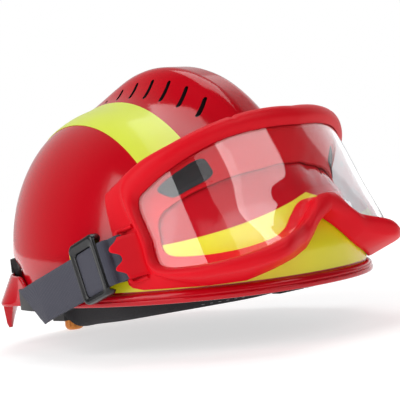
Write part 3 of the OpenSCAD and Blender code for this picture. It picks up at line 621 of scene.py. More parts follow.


# %% [markdown]
# ## The shell
#
# The shell is one grid of rays over the dome, moulded three millimetres thick, and the vent slots are
# cut through the crest's walls afterwards, as a drill jig would cut them. Their walls are coloured
# black, a painted shade for the dark inside of the slots.

# %% Shell skin
def skin(inset, steps_a=176, steps_b=60, pole=89.0):
    a = np.radians(np.linspace(0, 180, steps_a + 1))[:, None]
    share = np.linspace(-1, 1, 2 * steps_b + 1)
    b = np.radians(pole * signed_power(share, 1.35))[None, :]
    d = stack(np.cos(b) * np.cos(a), np.sin(b) + 0 * a, np.cos(b) * np.sin(a))
    return d * shell_reach(d, inset)[..., None]


shell = piece("shell_dome", sheet(skin(0.0), skin(WALL)), "helmet", shell_coat, ["shell"])

# %% Vent slots
SLOT_PITCH, SLOT_W, SLOT_BACK, SLOTS = 17.5, 3.2, 43.0, 7
SLOT_UNDER_CREST, SLOT_OVER_DOME, SLOT_Y, SLOT_REACH = 10.5, 4.5, 28.0, (4.0, 52.0)


def slot_cutter(x, side):
    """A flat bar with round ends, standing in the crest wall."""
    crest = CREST_BASE + (CREST_H - CREST_BASE) * math.sqrt(1 - (x / CREST_REACH) ** 2)
    high = crest - SLOT_UNDER_CREST
    low = float(dome_height(np.array([x]), np.array([SLOT_Y]))[0]) + SLOT_OVER_DOME
    turn = np.radians(np.linspace(0, 180, 9))
    outline = [(SLOT_W / 2 * math.cos(t), high + SLOT_W / 2 * math.sin(t)) for t in turn]
    outline += [(-SLOT_W / 2 * math.cos(t), low - SLOT_W / 2 * math.sin(t)) for t in turn]
    rings = np.array([[(x + u, side * y, z) for u, z in outline] for y in SLOT_REACH])
    return sweep(rings if side < 0 else rings[:, ::-1])


def cut(made, shapes):
    """Cuts closed shapes out of a piece and keeps the result. The cut faces get its last material."""
    tools = []
    for shape in shapes:
        mesh = solid_mesh("cutter", shape)
        for lined in made.data.materials:
            mesh.materials.append(lined)
        for face in mesh.polygons:
            face.material_index = len(made.data.materials) - 1
        tool = placed("cutter", mesh)
        change = made.modifiers.new("cut", "BOOLEAN")
        change.operation, change.object, change.solver = "DIFFERENCE", tool, "MANIFOLD"
        tools.append(tool)
    evaluated = made.evaluated_get(bpy.context.evaluated_depsgraph_get())
    mesh = bpy.data.meshes.new_from_object(evaluated)
    made.modifiers.clear()
    mesh.set_sharp_from_angle(angle=math.radians(40))
    made.data = mesh
    for tool in tools:
        bpy.data.objects.remove(tool)


# The slot walls take the black finish, a painted shade for the dark inside of the slots.
shell.data.materials.append(satin_black_and_slot_shade.material)
cut(shell, [slot_cutter(i * SLOT_PITCH - SLOT_BACK, side) for i in range(SLOTS) for side in (-1, 1)])
print("shell faces after the slots:", len(shell.data.polygons))

# %% [markdown]
# Round the foot of the shell runs a rolled bead with a shadow groove in it, and behind the ears a flared
# lip stands away from the dome and leaves a channel, which is where goggle straps hang on this kind of
# helmet. Both could be pulled out of the shell's grid, but a section swept round the rim keeps their
# edges crisp.

# %% Rounded sections round the rim
def rounded(rings, radii, steps=3):
    """Sections with each corner turned into a short curve of about the given radius."""
    radii = np.asarray(radii, float)[None, :, None]

    def towards(other):
        length = np.linalg.norm(other - rings, axis=2, keepdims=True) + 1e-9
        return rings + (other - rings) / length * np.minimum(radii, 0.45 * length)

    a, c = towards(np.roll(rings, 1, axis=1)), towards(np.roll(rings, -1, axis=1))
    curves = [(1 - t) ** 2 * a + 2 * t * (1 - t) * rings + t * t * c for t in np.linspace(0, 1, steps + 1)]
    return np.stack(curves, 2).reshape(rings.shape[0], -1, 3)


def ring_of(phi, profile):
    """A section of (growth, height) points carried round the rim."""
    return np.stack([rim_point(phi, grow, z) for grow, z in profile], 1)


print("points round a rounded square:", rounded(np.zeros((1, 4, 3)), [1] * 4).shape[1])


# %% Rim bead, nape flange and ears
FLANGE_SPAN, EAR_PHI, EAR_DROP, EAR_OUT, EAR_ROOT, EAR_TIP = 74, 37, 21.0, 14.0, 6.0, 1.1


def mirrored(shape):
    points, faces = shape
    return points * (1, -1, 1), [tuple(reversed(f)) for f in faces]


SIDES = (("right", lambda shape: shape), ("left", mirrored))


def rim_bead():
    phi = np.linspace(0, 360, 240, endpoint=False)
    inner = -(tuck(rim_point(phi, 0, 0)[:, 0], 0) * HALF_L + WALL - 0.2)
    profile = [(inner, BEAD_H), (0, BEAD_H + 0.4), (BEAD_OUT - 0.6, 6.8), (BEAD_OUT - 0.2, 4.4),
               (BEAD_OUT - 1, 3.8), (BEAD_OUT, 3.2), (BEAD_OUT, 1.2), (BEAD_OUT - 1.2, 0), (inner, 0)]
    return sweep(rounded(ring_of(phi, profile), [0.5, 1.2, 1.8, 0.5, 0.4, 0.5, 1.2, 1.2, 0.6]), ring=True)


def nape_flange():
    phi = np.linspace(180 - FLANGE_SPAN, 180 + FLANGE_SPAN, 121)
    x = rim_point(phi, 0, 0)[:, 0]
    early, late = rearness(x - 20), rearness(x)
    top, foot, brow = mix(3.5, 22, early), mix(2.7, 14, late), mix(2.6, 4, early)
    profile = [(brow - 3, top), (brow, top), (foot, 1.2), (foot - 1, 0), (0, 0), (0, 3), (foot - 3, 3)]
    return sweep(rounded(ring_of(phi, profile), [1.2, 1.2, 2.0, 0.5, 0.3, 0.3, 2.5]))


def nape_ear():
    """A fin that hangs from the flange's corner, thick at the root and thin at its point."""
    across, down = np.meshgrid(np.linspace(-1, 1, 17), np.linspace(0, 1, 15))
    phi = 180 + EAR_PHI + across * mix(EAR_ROOT, EAR_TIP, down ** 0.9)
    outer = EAR_OUT - 0.5 * across ** 2 - 1.0 * ease((down - 0.85) / 0.15)
    inner = mix(3.0, 10.2, down ** 0.8) + 0.8 * across ** 2
    z = 1.6 - (EAR_DROP + 1.4) * down
    return sheet(rim_point(phi, outer, z)[:, ::-1], rim_point(phi, inner, z)[:, ::-1])


piece("rim_bead", rim_bead(), "helmet", shell_coat)
piece("nape_flange", nape_flange(), "helmet", shell_coat)
for side, turn in SIDES:
    piece("nape_ear_" + side, turn(nape_ear()), "helmet", shell_coat)

# %% [markdown]
# ## Reflective film
#
# Film is laid on the shell, so it is a sheet a fraction of a millimetre off the surface. Two bands run
# back along the crest's valleys, and a wide one goes round the brow with a peak in the middle. They
# could be colours in the shell's material, but a sheet has a real edge, and every point of it is put on
# the formula.

# %% Film bands
FILM_GAP, FILM_T, STRIPE_W, BROW_LOW, BROW_PEAK = 0.12, 0.32, 31.0, 37.0, 24.0


def film(grid):
    return sheet(on_shell(grid, FILM_GAP + FILM_T), on_shell(grid, FILM_GAP))


STRIPE_MIDDLE, STRIPE_SPREAD, STRIPE_FRONT, STRIPE_REAR, BROW_SPREAD = 51.5, 0.21, 78, -112, 87


def top_band():
    x = np.linspace(STRIPE_FRONT, STRIPE_REAR, 81)[:, None]
    y = -(STRIPE_MIDDLE + STRIPE_SPREAD * x) + STRIPE_W * np.linspace(-0.5, 0.5, 13)[None, :]
    x = x + 0 * y
    return film(stack(x, y, dome_height(x, y)))


def front_band():
    phi = np.linspace(BROW_SPREAD, -BROW_SPREAD, 161)[None, :]
    y = np.abs(dome_point(phi, np.full(np.shape(phi), BROW_LOW))[..., 1])
    top = BROW_LOW + BROW_PEAK * np.maximum(0, 1 - y / 100) ** 1.2
    z = mix(BEAD_H + 1.2, top, np.linspace(0, 1, 15)[:, None])
    return film(dome_point(phi + 0 * z, z))


for side, turn in SIDES:
    piece("film_top_" + side, turn(top_band()), "helmet", lime_film, ["stripe_top_" + side])
piece("film_front", front_band(), "helmet", yellow_film, ["stripe_front"])

# %% [markdown]
# ## The goggles
#
# The lens bends round the face like part of a can, so a point on it is an angle, a height and a distance
# from the can's axis. Three loops are drawn on it: the opening, the outside of the bar, and the line
# where the inner wall meets the shell. Each loop runs from the brow round to the nose and is mirrored.

# %% Loops of the goggle frame
LENS_R, LENS_T, TILT = 102.9, 2.2, math.radians(28.4)
AXIS_X, AXIS_Z = HALF_L - 90.5, 28.3
LOOP_STEPS = 10
opening_edge = [(0, 34), (16, 36), (32, 37.8), (48, 36.4), (63.7, 32.7), (72.3, 26.9), (74, 2),
                (74.9, -16.7), (62.6, -30.1), (46.7, -38.8), (30.8, -40), (18, -31.4), (10, -22.4),
                (6, -17.3), (0, -16)]
bar_edge = [(0, 48.6), (17, 50.5), (33, 51), (50, 50.3), (66, 50), (76, 42), (77.5, 3), (78.5, -20),
            (66.3, -36.5), (47.5, -49), (33.2, -52.4), (23.8, -47.1), (16.6, -41.6), (10, -34), (0, -28)]
wall_edge = [(0, 18), (15, 18.5), (30, 19), (45, 18.6), (57, 18), (68, 14), (71.5, 1), (71.5, -13),
             (60, -24), (45.5, -31), (31.5, -32.5), (23.5, -29), (17, -21), (9, -13), (0, -11)]


def through(points, steps):
    """A smooth curve through a list of points."""
    p = np.asarray(points, float)
    p = np.concatenate([p[:1], p, p[-1:]])
    a, b, c, d = (v[:, None, :] for v in (p[:-3], p[1:-2], p[2:-1], p[3:]))
    t = np.arange(steps)[None, :, None] / steps
    square, cube = 2 * a - 5 * b + 4 * c - d, 3 * b - a - 3 * c + d
    curve = 0.5 * (2 * b + (c - a) * t + square * t ** 2 + cube * t ** 3)
    return np.concatenate([curve.reshape(-1, p.shape[1]), p[-1:]])


def loop(half):
    line = through(half, LOOP_STEPS)
    return np.concatenate([line, line[-2:0:-1] * (-1, 1)])


opening, bar, wall = loop(opening_edge), loop(bar_edge), loop(wall_edge)
print("stations round the goggles:", len(opening))


# %% A point on the can
BEND_DEPTH, BEND_FROM, BEND_OVER = 12.5, 6, 20
BEND_SIDE, BEND_WIDENS, BEND_FADES = 16, 0.343, 12


def nose_bend(edge):
    """How far the goggles bend back towards the face beside and above the nose."""
    side, drop = np.abs(edge[..., 0]), -edge[..., 1]
    inside = ease((BEND_SIDE + drop * BEND_WIDENS - side) / BEND_FADES)
    return BEND_DEPTH * ease((drop - BEND_FROM) / BEND_OVER) * inside


def tilted(along, out, h):
    """A point along, out from and up the can, tilted back with it."""
    return stack(AXIS_X + along * math.cos(TILT) - h * math.sin(TILT), -out,
                 AXIS_Z + along * math.sin(TILT) + h * math.cos(TILT))


def lens_point(edge, r, bend=None):
    r = r - (nose_bend(edge) if bend is None else bend)
    g = np.radians(edge[..., 0])
    return tilted(r * np.cos(g), r * np.sin(g), edge[..., 1])


print("middle of the brow bar:", np.round(lens_point(bar, LENS_R)[0], 1))


# %% Where the goggles meet the shell
def off_shell(p, gap):
    return np.where((clearance(p) < gap)[..., None], on_shell(p, gap), p)


# Where the lower bar is this far from the middle, the skirt's foot is this far from it, and this high
FOOT_FROM = [0, 17.9, 29.4, 41.5, 56.3, 75.9, 94.2]
FOOT_Y = [0, 13, 23.5, 33, 46, 62, 80]
FOOT_Z = [44.5, 33.5, 25, 20, 15.2, 10, 9.4]


def nose_of(y, z):
    """How far forward the dome is at a height and a sideways place."""
    t = dome_level(z)
    share = np.maximum(0.01, dome_share(t) ** PLAN - np.abs(y / HALF_W) ** PLAN)
    return -TOP_BACK * t + HALF_L * share ** (1 / PLAN)


def skirt_foot(edge, gap):
    """Straight back from the bar as far as the skirt goes, then down onto the shell, drawn in low down."""
    ahead = LENS_R * np.cos(np.radians(edge[:, 0]))
    behind = np.maximum(-3 + 0.15 * edge[:, 1], ahead - 34) - ahead
    p = lens_point(edge, LENS_R)
    side = np.abs(p[:, 1])
    low = ease((-edge[:, 1] - 14) / 12)
    y = np.sign(p[:, 1]) * mix(side, np.interp(side, FOOT_FROM, FOOT_Y), low)
    z = mix(p[:, 2] + behind * math.sin(TILT), np.interp(side, FOOT_FROM, FOOT_Z), low)
    x = mix(p[:, 0] + behind * math.cos(TILT), nose_of(y, z), low)
    return on_shell(stack(x, y, np.maximum(BEAD_H + 1.4, z)), gap)


def wall_foot(edge, gap):
    """Where a line from the lens to the can's axis comes down on the shell."""
    near, far = np.full(len(edge), 45.0), np.full(len(edge), LENS_R)
    return lens_point(edge, halving(near, far, lambda r: clearance(lens_point(edge, r)) < gap, 18))


print("foot of the wall over the nose:", np.round(wall_foot(wall, 0.5)[len(wall) // 2], 1))

# %% [markdown]
# The frame's section has a rolled bar in front, a skirt outside, a wall inside and a groove that holds
# the lens. It is soft, so every corner is rounded. A groove crosses the bar on each side of the brow. It
# could be modelled by hand with a subdivision surface, but a section swept along the loops fits both
# lens and shell.

# %% Goggle frame
BAR_PROUD, SKIRT_T, GOGGLE_GAP = 6.5, 2.6, 0.7
BEHIND_LENS = LENS_R - LENS_T - 0.3
GROOVE_AT, GROOVE_DEPTH = 16, 1.1


def frame_sections():
    def between(share):
        return mix(opening, bar, share)

    points = [
        (lens_point(opening, LENS_R + 0.3), 0.5),
        (lens_point(between(0.25), LENS_R + BAR_PROUD * 0.8), 2.6),
        (lens_point(between(0.68), LENS_R + BAR_PROUD), 3.4),
        (lens_point(bar, LENS_R + BAR_PROUD * 0.45), 3.2),
        (skirt_foot(bar, GOGGLE_GAP + SKIRT_T), 1.2),
        (skirt_foot(bar, GOGGLE_GAP), 0.8),
        (off_shell(lens_point(between(0.78), LENS_R - 2), GOGGLE_GAP), 1.0),
        (off_shell(lens_point(between(0.42), LENS_R - LENS_T - 3), GOGGLE_GAP), 1.0),
        (wall_foot(wall, 0.5), 0.6),
        (wall_foot(wall, GOGGLE_GAP + 1.9), 0.6),
        (off_shell(lens_point(opening, LENS_R - LENS_T - 3), GOGGLE_GAP + 0.9), 0.8),
        (lens_point(opening, BEHIND_LENS), 0.4),
        (lens_point(between(0.3), BEHIND_LENS), 0.2),
        (lens_point(between(0.3), LENS_R + 0.3), 0.2)]
    return np.stack([p for p, _ in points], 1), [r for _, r in points]


sections, radii = frame_sections()
WALL_LENS, WALL_SHELL = sections[:, 10], sections[:, 9]
for station in (GROOVE_AT, len(opening) - GROOVE_AT):
    sections[station, 2:6] += GROOVE_DEPTH * unit(sections[station, :1] - sections[station, 2:6])
piece("goggle_frame_skin", sweep(rounded(sections, radii, 4), ring=True), "goggles", soft_red,
      ["goggle_frame"], crease=70)


# %% Goggle lens
def lens_sheet():
    n = len(opening)
    half, quarter = n // 2, n // 4
    edge = mix(opening, bar, 0.25)
    columns = np.arange(-quarter + 2, quarter - 1)
    top, low = edge[columns % n], edge[(half - columns) % n]
    share = np.linspace(0, 1, 29)[None, :]
    grid, bend = mix(top[:, None], low[:, None], share[..., None]), nose_bend(low)[:, None] * share ** 4
    return sheet(lens_point(grid, LENS_R, bend), lens_point(grid, LENS_R - LENS_T, bend))


lens = piece("goggle_lens_clear", lens_sheet(), "goggles", lens_clear, ["goggle_lens"])
lens.visible_shadow = False


# %% [markdown]
# Two foam-backed vents sit in the inner wall under the brow. Each is a rounded patch with a raised
# border and a mesh sunk into it, laid on the wall by moving along the loop's stations and between its
# wall points.

# %% Goggle vents
mesh_black = moulded("vent_mesh", "black_plastic", (0.008, 0.008, 0.009), (0.02, 0.02, 0.022), 0.6,
                     1500.0, 0.0004)


def circle(steps):
    """Equal angles all the way round."""
    return np.linspace(0, 2 * math.pi, steps, endpoint=False)


def wall_patch(station, across, lift):
    """A point on the inner wall: a place along the loop, a share from lens to shell, and a lift off it."""
    low = np.floor(station).astype(int)
    share = (station - low)[..., None]
    near = mix(WALL_LENS[low], WALL_LENS[low + 1], share)
    far = mix(WALL_SHELL[low], WALL_SHELL[low + 1], share)
    drop = np.array([math.sin(TILT), 0.0, -math.cos(TILT)])
    return mix(near, far, across[..., None]) + drop * lift[..., None]


def vent_patch():
    rings, turns = 14, 56
    radius, turn = np.meshgrid(np.linspace(0.02, 1, rings), circle(turns), indexing="ij")
    border = ease((radius - 0.66) / 0.1) * (1 - ease((radius - 0.9) / 0.1))
    station = LOOP_STEPS * (3.42 + 0.78 * radius * signed_power(np.cos(turn), 0.42))
    across = 0.44 + 0.34 * radius * signed_power(np.sin(turn), 0.42)
    front = wall_patch(station, across, 0.5 + 1.5 * border)
    back = wall_patch(station, across, -0.6 + 0 * border)
    size, last = rings * turns, (rings - 1) * turns
    faces = grid_faces(rings, turns, ring_cols=True) + grid_faces(rings, turns, size, True, ring_cols=True)
    for j in range(turns):
        k = (j + 1) % turns
        faces.append((last + j, last + size + j, last + size + k, last + k))
    faces += [tuple(range(turns))[::-1], tuple(range(size, size + turns))]
    return np.concatenate([front.reshape(-1, 3), back.reshape(-1, 3)]), faces


for side, turn in SIDES:
    piece("vent_patch_" + side, turn(vent_patch()), "goggles", mesh_black, ["goggle_vent_" + side])

# %% [markdown]
# ## The goggles' straps
#
# Elastic webbing goes from the hook on the nape flange, through the slider, round the lug on the frame
# and back through the slider. It is flat and woven, so it is swept directly instead of being simulated.

# %% Strap route
SLOPE = math.radians(18)
SLIDER_X, SLIDER_Y, SLIDER_Z, BAR_T, HOOK_T, HOOK_GAP = 39.0, -115.2, 25.3, 1.5, 1.8, 0.6
LUG_S, LUG_Y, LUG_R = 26.0, -111.4, 1.5
STRAP_W, STRAP_T, LAYER_GAP, TAIL_CUT = 30.0, 1.8, 0.4, 9
INNER_Y = SLIDER_Y - BAR_T - LAYER_GAP - STRAP_T / 2
OUTER_Y = INNER_Y - STRAP_T - LAYER_GAP
LOOP_R = LUG_R + 0.25 + STRAP_T / 2


def run_of(line):
    """Length along a line, from its start to each point."""
    return np.concatenate([[0], np.cumsum(np.linalg.norm(np.diff(line, axis=0), axis=1))])


def strap_point(s, w, y):
    """Along the strap, across it, and sideways from the helmet."""
    c, t = math.cos(SLOPE), math.sin(SLOPE)
    return stack(SLIDER_X + s * c - w * t, y, SLIDER_Z + s * t + w * c)


def bead_y(s):
    x = abs(SLIDER_X + s * math.cos(SLOPE))
    return -(HALF_W + BEAD_OUT) * (1 - (x / (HALF_L + BEAD_OUT)) ** PLAN) ** (1 / PLAN)


def strap_route():
    rear = -HOOK_T - HOOK_GAP - STRAP_T / 2
    start = [(-79, bead_y(-79) + rear - 0.5), (-70, bead_y(-70) + rear - 0.2), (-56, INNER_Y - 1),
             (-40, INNER_Y - 0.6), (-16, INNER_Y), (16, INNER_Y), (LUG_S - 5, LUG_Y + LOOP_R - 1.6)]
    turn = np.radians(np.linspace(90, -90, 9))
    fold = [(LUG_S + LOOP_R * math.cos(a), LUG_Y + LOOP_R * math.sin(a)) for a in turn]
    end = [(LUG_S - 5, LUG_Y - LOOP_R - 1.2), (16, OUTER_Y), (-16, OUTER_Y), (-40, OUTER_Y - 0.8),
           (-60, OUTER_Y - 1.4), (-75, OUTER_Y - 0.8)]
    return through(start + fold + end, 6)


print("one goggle strap is", round(float(run_of(strap_route())[-1])), "mm long")


# %% Straps
def flat_section(columns, thick, thin, power):
    """Round a strap's section: shares of half its width, and how far each point is from its middle."""
    span = np.linspace(-1, 1, columns)
    half = thick / 2 * (1 - thin * np.abs(span) ** power)
    return np.concatenate([span, span[::-1]])[None, :], np.concatenate([half, -half[::-1]])[None, :]


def strap_mesh():
    line = strap_route()
    step = np.gradient(line, axis=0)
    normal = unit(stack(step[:, 1], -step[:, 0]))
    slant = np.zeros(len(line))
    slant[:6], slant[-6:] = np.linspace(TAIL_CUT, 0, 7)[:6], np.linspace(0, TAIL_CUT, 7)[1:]
    span, depth = flat_section(17, STRAP_T, 0.75, 12)
    offset = line[:, None, :] + normal[:, None, :] * depth[..., None]
    across, back_by = STRAP_W / 2 * span, slant[:, None] * span
    s = offset[..., 0] - back_by
    rings = strap_point(s, across + 0 * s, offset[..., 1])
    return sweep(rings), stack(run_of(line)[:, None] - back_by, across, depth).reshape(-1, 3)


for side, turn in SIDES:
    shape, lay = strap_mesh()
    strap = piece("elastic_" + side, turn(shape), "helmet", slate_elastic, ["goggle_strap_" + side],
                  flow=lay, crease=60, rides=False)
    sign = -1 if side == "left" else 1
    ends = [metres(strap_point(s, 0, SLIDER_Y)) * (1, sign, 1) for s in (13, 25)]
    tuple(ends[0])
    tuple(ends[1])
    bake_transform(strap)


# %% [markdown]
# The strap's front fold turns round a bar on the frame. A rubber cover runs from the frame's side out
# over the fold, and two round teeth in its edge make the strap look scalloped there. The teeth run
# across the frame's section, so the cover is a sheet of its own and not a bulge in the sweep.

# %% Lug bar and cover
def tube(line, radius, steps=12):
    """A round bar along a line of points."""
    step = unit(np.gradient(line, axis=0))
    first = unit(np.cross(step, (1.0, 1.0, 1.0)))
    second = np.cross(step, first)
    turn = circle(steps)[None, :, None]
    return sweep(line[:, None] + radius * (np.cos(turn) * first[:, None] + np.sin(turn) * second[:, None]))


def lug_bar():
    half = [(36, 17.6, -104.4), (29, 17.6, -106), (LUG_S, 17.2, -110), (LUG_S, 14, LUG_Y)]
    line = through(half + [(LUG_S, 0, LUG_Y)] + [(s, -w, y) for s, w, y in half[::-1]], 6)
    return tube(strap_point(line[:, 0], line[:, 1], line[:, 2]), LUG_R)


COVER_LOW, COVER_HIGH, COVER_T = -16.5, 12.5, 1.8
COVER_IN_S, COVER_IN_Y = 42.0, -101.5
TEETH = ((5.0, 5.5, 3.2), (4.0, -8.0, 2.8))  # how far out, where across the strap, how wide


def lug_cover():
    w = np.linspace(COVER_LOW, COVER_HIGH, 45)[None, :]
    teeth = sum(out * np.exp(-((w - at) / wide) ** 2) for out, at, wide in TEETH)
    share = np.linspace(0, 1, 19)[:, None]
    s = mix(LUG_S + LOOP_R + 3.6 - teeth, COVER_IN_S + 0 * w, share)
    outside = mix(OUTER_Y - STRAP_T / 2 - 1.9, COVER_IN_Y, ease((s - 28) / 14))
    edge = 0.8 * (1 - ease(share / 0.08)) + 0.8 * ease((np.abs(w + 2) - 12.7) / 1.8)
    return sheet(strap_point(s, w, outside + edge), strap_point(s, w, outside + COVER_T))


for side, turn in SIDES:
    piece("lug_bar_" + side, turn(lug_bar()), "goggles", soft_red)
    piece("lug_cover_" + side, turn(lug_cover()), "goggles", soft_red)


# %% [markdown]
# The slider is a glossy moulded ladder-lock: a thick frame with rounded corners, a window that shows the
# strap, and a bar across its back. It could be cut out of a block, but one rounded section swept round a
# rounded rectangle gives the same form with smoother edges.

# %% Sliders
SLIDER_L, SLIDER_H, SLIDER_T, SLIDER_RISE, SLIDER_EDGE = 30.0, 43.0, 8.0, 1.8, 5.6
WINDOW_H = STRAP_W + 1


def corner_loop(length, height, radius, steps=8):
    """A rounded rectangle as a closed list of points, anticlockwise."""
    points = []
    for quarter, (sx, sy) in enumerate(((1, 1), (-1, 1), (-1, -1), (1, -1))):
        x, y = sx * (length / 2 - radius), sy * (height / 2 - radius)
        for a in np.radians(90 * quarter + np.linspace(0, 90, steps)):
            points.append((x + radius * math.cos(a), y + radius * math.sin(a)))
    return np.array(points)


def off_slider(p, z):
    """A point drawn flat on the slider, and how far it stands off its back."""
    return strap_point(p[:, 0], p[:, 1], SLIDER_Y - z + 0 * p[:, 0])


def slider_mesh():
    outer = corner_loop(SLIDER_L, SLIDER_H, 5.0) + (0, SLIDER_RISE)
    inner = corner_loop(SLIDER_L - 2 * SLIDER_EDGE, WINDOW_H, 2.5)
    middle = (outer + inner) / 2
    crown = middle * 0.5 + outer * 0.5
    low = np.where(np.abs(middle[:, 1]) < WINDOW_H / 2 + 0.4, SLIDER_T - 1.9, 0.0)
    levels = [(outer, low), (outer, SLIDER_T - 2.2), (crown, SLIDER_T), (inner, SLIDER_T - 1.2),
              (inner, low)]
    rings = np.stack([off_slider(p, z) for p, z in levels], 1)
    return sweep(rounded(rings, [0.8, 2.0, 3.0, 1.0, 0.5], 3)[:, ::-1], ring=True)


def slider_bar():
    w = np.linspace(-16.5, 16.5, 9)
    rings = [off_slider(stack(u, w), v) for u, v in ((-2, 0), (2, 0), (2, BAR_T), (-2, BAR_T))]
    return sweep(rounded(np.stack(rings, 1), [0.5] * 4, 2)[:, ::-1])


for side, turn in SIDES:
    piece("slider_frame_" + side, turn(slider_mesh()), "slider_" + side, gloss_black, ["slider_" + side])
    piece("slider_bar_" + side, turn(slider_bar()), "slider_" + side, gloss_black)

# %% [markdown]
# ## The foam liner
#
# Behind the shell sits a ring of expanded foam that takes the blow. Its inner face has shallow air
# channels that lead to the crest, so the ring is a sweep whose inner wall moves in and out with the
# compass angle. The foam is moulded from beads, domed in the bump; its colour darkens towards the lines
# between them, a painted shade in the recesses.

# %% Bead foam finish
bead_foam = Finish("bead_foam", "foam", Roughness=0.88, Specular_IOR_Level=0.3)
cell = bead_foam.cells(bead_foam.place(), 320.0)
# Darker towards the cell borders, where the bump sinks: painted shade between the beads.
bead_foam.mottled(cell, (0.055, 0.055, 0.06), (0.03, 0.03, 0.033))
bead_foam.bumped(1.0 - cell, 0.0005)

# %% Foam liner
LINER_GAP, LINER_T, LINER_Z, LINER_TOP, LINER_ROWS = 4.0, 12.0, 39.0, 0.93, 15
CHANNELS, CHANNEL_DEPTH = 10, 3.0


def liner_point(phi, t, inset):
    c, s = plan_point(phi)
    k = dome_share(t)
    x, y = -TOP_BACK * t + (HALF_L - inset) * k * c, (HALF_W - inset) * k * s
    return stack(x, y, BELT_Z + (DOME_H - inset - BELT_Z) * t)


def foam_liner():
    phi = np.linspace(0, 360, 180, endpoint=False)
    channel = CHANNEL_DEPTH * ease((np.cos(np.radians(phi * CHANNELS)) - 0.55) / 0.3)
    low = (LINER_Z - BELT_Z) / (DOME_H - LINER_GAP - BELT_Z)
    t = mix(low, LINER_TOP, np.linspace(0, 1, LINER_ROWS))
    outer = [liner_point(phi, share, LINER_GAP + 0.3) for share in t[::-1]]
    deep = [LINER_GAP + LINER_T - 0.3 - channel * ease(k / 3) * ease((14 - k) / 2) for k in range(len(t))]
    inner = [liner_point(phi, share, inset) for share, inset in zip(t, deep)]
    radii = ([2.5] + [0.1] * (LINER_ROWS - 2) + [2.5]) * 2
    return sweep(rounded(np.stack(outer + inner, 1), radii), ring=True)


liner = piece("foam_liner", foam_liner(), "helmet", bead_foam, ["impact_liner"])


# %% [markdown]
# ## Webbing
#
# Harness webbing keeps its width and thickness wherever it goes, so each band is a flat section carried
# along a line of points, with its length written into the mesh for the weave.

# %% Crown webbing
def band(line, wide, width, thick):
    """Webbing through a line of points, with the direction of its width at each point."""
    wide, step = unit(wide), unit(np.gradient(line, axis=0))
    out = np.cross(step, wide)
    span, depth = flat_section(9, thick, 0.6, 10)
    rings = line[:, None] + wide[:, None] * (width / 2 * span)[..., None] + out[:, None] * depth[..., None]
    return sweep(rings), stack(run_of(line)[:, None], width / 2 * span, depth).reshape(-1, 3)


HEAD_L, HEAD_W, BAND_T, BAND_Z, BAND_H, CLIP_OUT = 196.0, 158.0, 1.8, 4.0, 30.0, 12
WEB_W, WEB_T, WEB_GAP, CROWN_Z, CLIP_FOOT = 19.0, 1.3, 0.4, 112.0, 22.3


def oval_reach(angle):
    """From the middle of the head to the headband."""
    c, s = abs(math.cos(math.radians(angle))), abs(math.sin(math.radians(angle)))
    return ((c * 2 / HEAD_L) ** PLAN + (s * 2 / HEAD_W) ** PLAN) ** (-1 / PLAN)


for k, angle in enumerate((30, 90, 150)):
    reach = [oval_reach(angle + turn) + CLIP_OUT - WEB_T / 2 for turn in (0, 180)]
    t = np.radians(np.linspace(0, 180, 65))
    r = np.where(t < math.pi / 2, reach[0], reach[1]) * np.cos(t)
    z = CLIP_FOOT + (CROWN_Z + k * (WEB_T + WEB_GAP) - WEB_T / 2 - CLIP_FOOT) * np.sin(t)
    c, s = math.cos(math.radians(angle)), math.sin(math.radians(angle))
    shape, lay = band(stack(r * c, r * s, z), np.tile((-s, c, 0.0), (65, 1)), WEB_W, WEB_T - 0.1)
    piece("crown_web_%d" % (k + 1), shape, "helmet", black_web, ["crown_straps"] if k == 0 else (),
          flow=lay, crease=60)


# %% [markdown]
# A rivet holds the three bands together where they cross. It is a turned part, so its profile of radii
# and heights is carried round an axis, as a lathe would.

# %% Rivet
def turned(profile, steps, x=0.0):
    """Radii and heights turned round an upright axis. Each angle may have a profile of its own."""
    turn = circle(steps)[:, None]
    r, z = profile[..., 0], profile[..., 1]
    return sweep(stack(x + r * np.cos(turn), r * np.sin(turn), z + 0 * turn), ring=True)


rivet_top, rivet_foot = CROWN_Z + 2 * (WEB_T + WEB_GAP), CROWN_Z - WEB_T
head = [(0.01, 1.2), (2.6, 1.0), (4.0, 0.4), (4.4, 0), (1.6, -0.1)]
tail = [(1.6, -0.1), (4.4, -0.2), (4.2, -0.7), (0.01, -0.9)]
rivet = np.array([(r, rivet_top + z) for r, z in head] + [(r, rivet_foot + z) for r, z in tail])
piece("crown_rivet", turned(rivet, 48), "helmet", satin_black_and_slot_shade)

# %% [markdown]
# ## Pads
#
# The crown pad, the sweatband and the nape pad are foam under fabric. Their edges are sewn, so each is
# fat in the middle and thin at its border, and the seams draw the surface in. They are a few millimetres
# thick, too thin to simulate as cloth, so a formula puffs them up. The fabric is knitted, and its loops
# are the cells of a smooth pattern.

# %% Padded fabric finish
knit = Finish("pad_fabric", "foam", Roughness=0.9, Sheen_Weight=0.2, Sheen_Roughness=0.5)
spot = knit.place()
knit.mottled(knit.noise(spot, 60.0), (0.02, 0.02, 0.023), (0.045, 0.045, 0.05))
knit.bumped(1.0 - knit.cells(spot, 900.0, feature="SMOOTH_F1"), 0.0003)

# %% Crown pad
PAD_R, PAD_STEPS = 25.6, 96


def crown_pad():
    foot = CLIP_FOOT + 0.3
    sag = math.sqrt(1 - (26 / (HEAD_W / 2 + CLIP_OUT - WEB_T)) ** 2)
    top = foot + (CROWN_Z - foot - WEB_T) * sag + 0.4
    share = np.linspace(0.02, 1, 15)[None, :]
    seam = np.exp(-(np.sin(2 * circle(PAD_STEPS)[:, None]) * share * 4) ** 2)
    puff = np.sqrt(np.maximum(1 - share ** 4, 0)) * (1 - 0.4 * seam * ease((share - 0.05) / 0.2))
    heights = np.concatenate([top - 2.4 + 2.0 * puff, (top - 2.6 - 2.3 * puff)[:, ::-1]], 1)
    return turned(stack(PAD_R * np.concatenate([share, share[:, ::-1]], 1), heights), PAD_STEPS)


pad = piece("crown_cushion", crown_pad(), "helmet", knit, ["crown_pad"], crease=80)


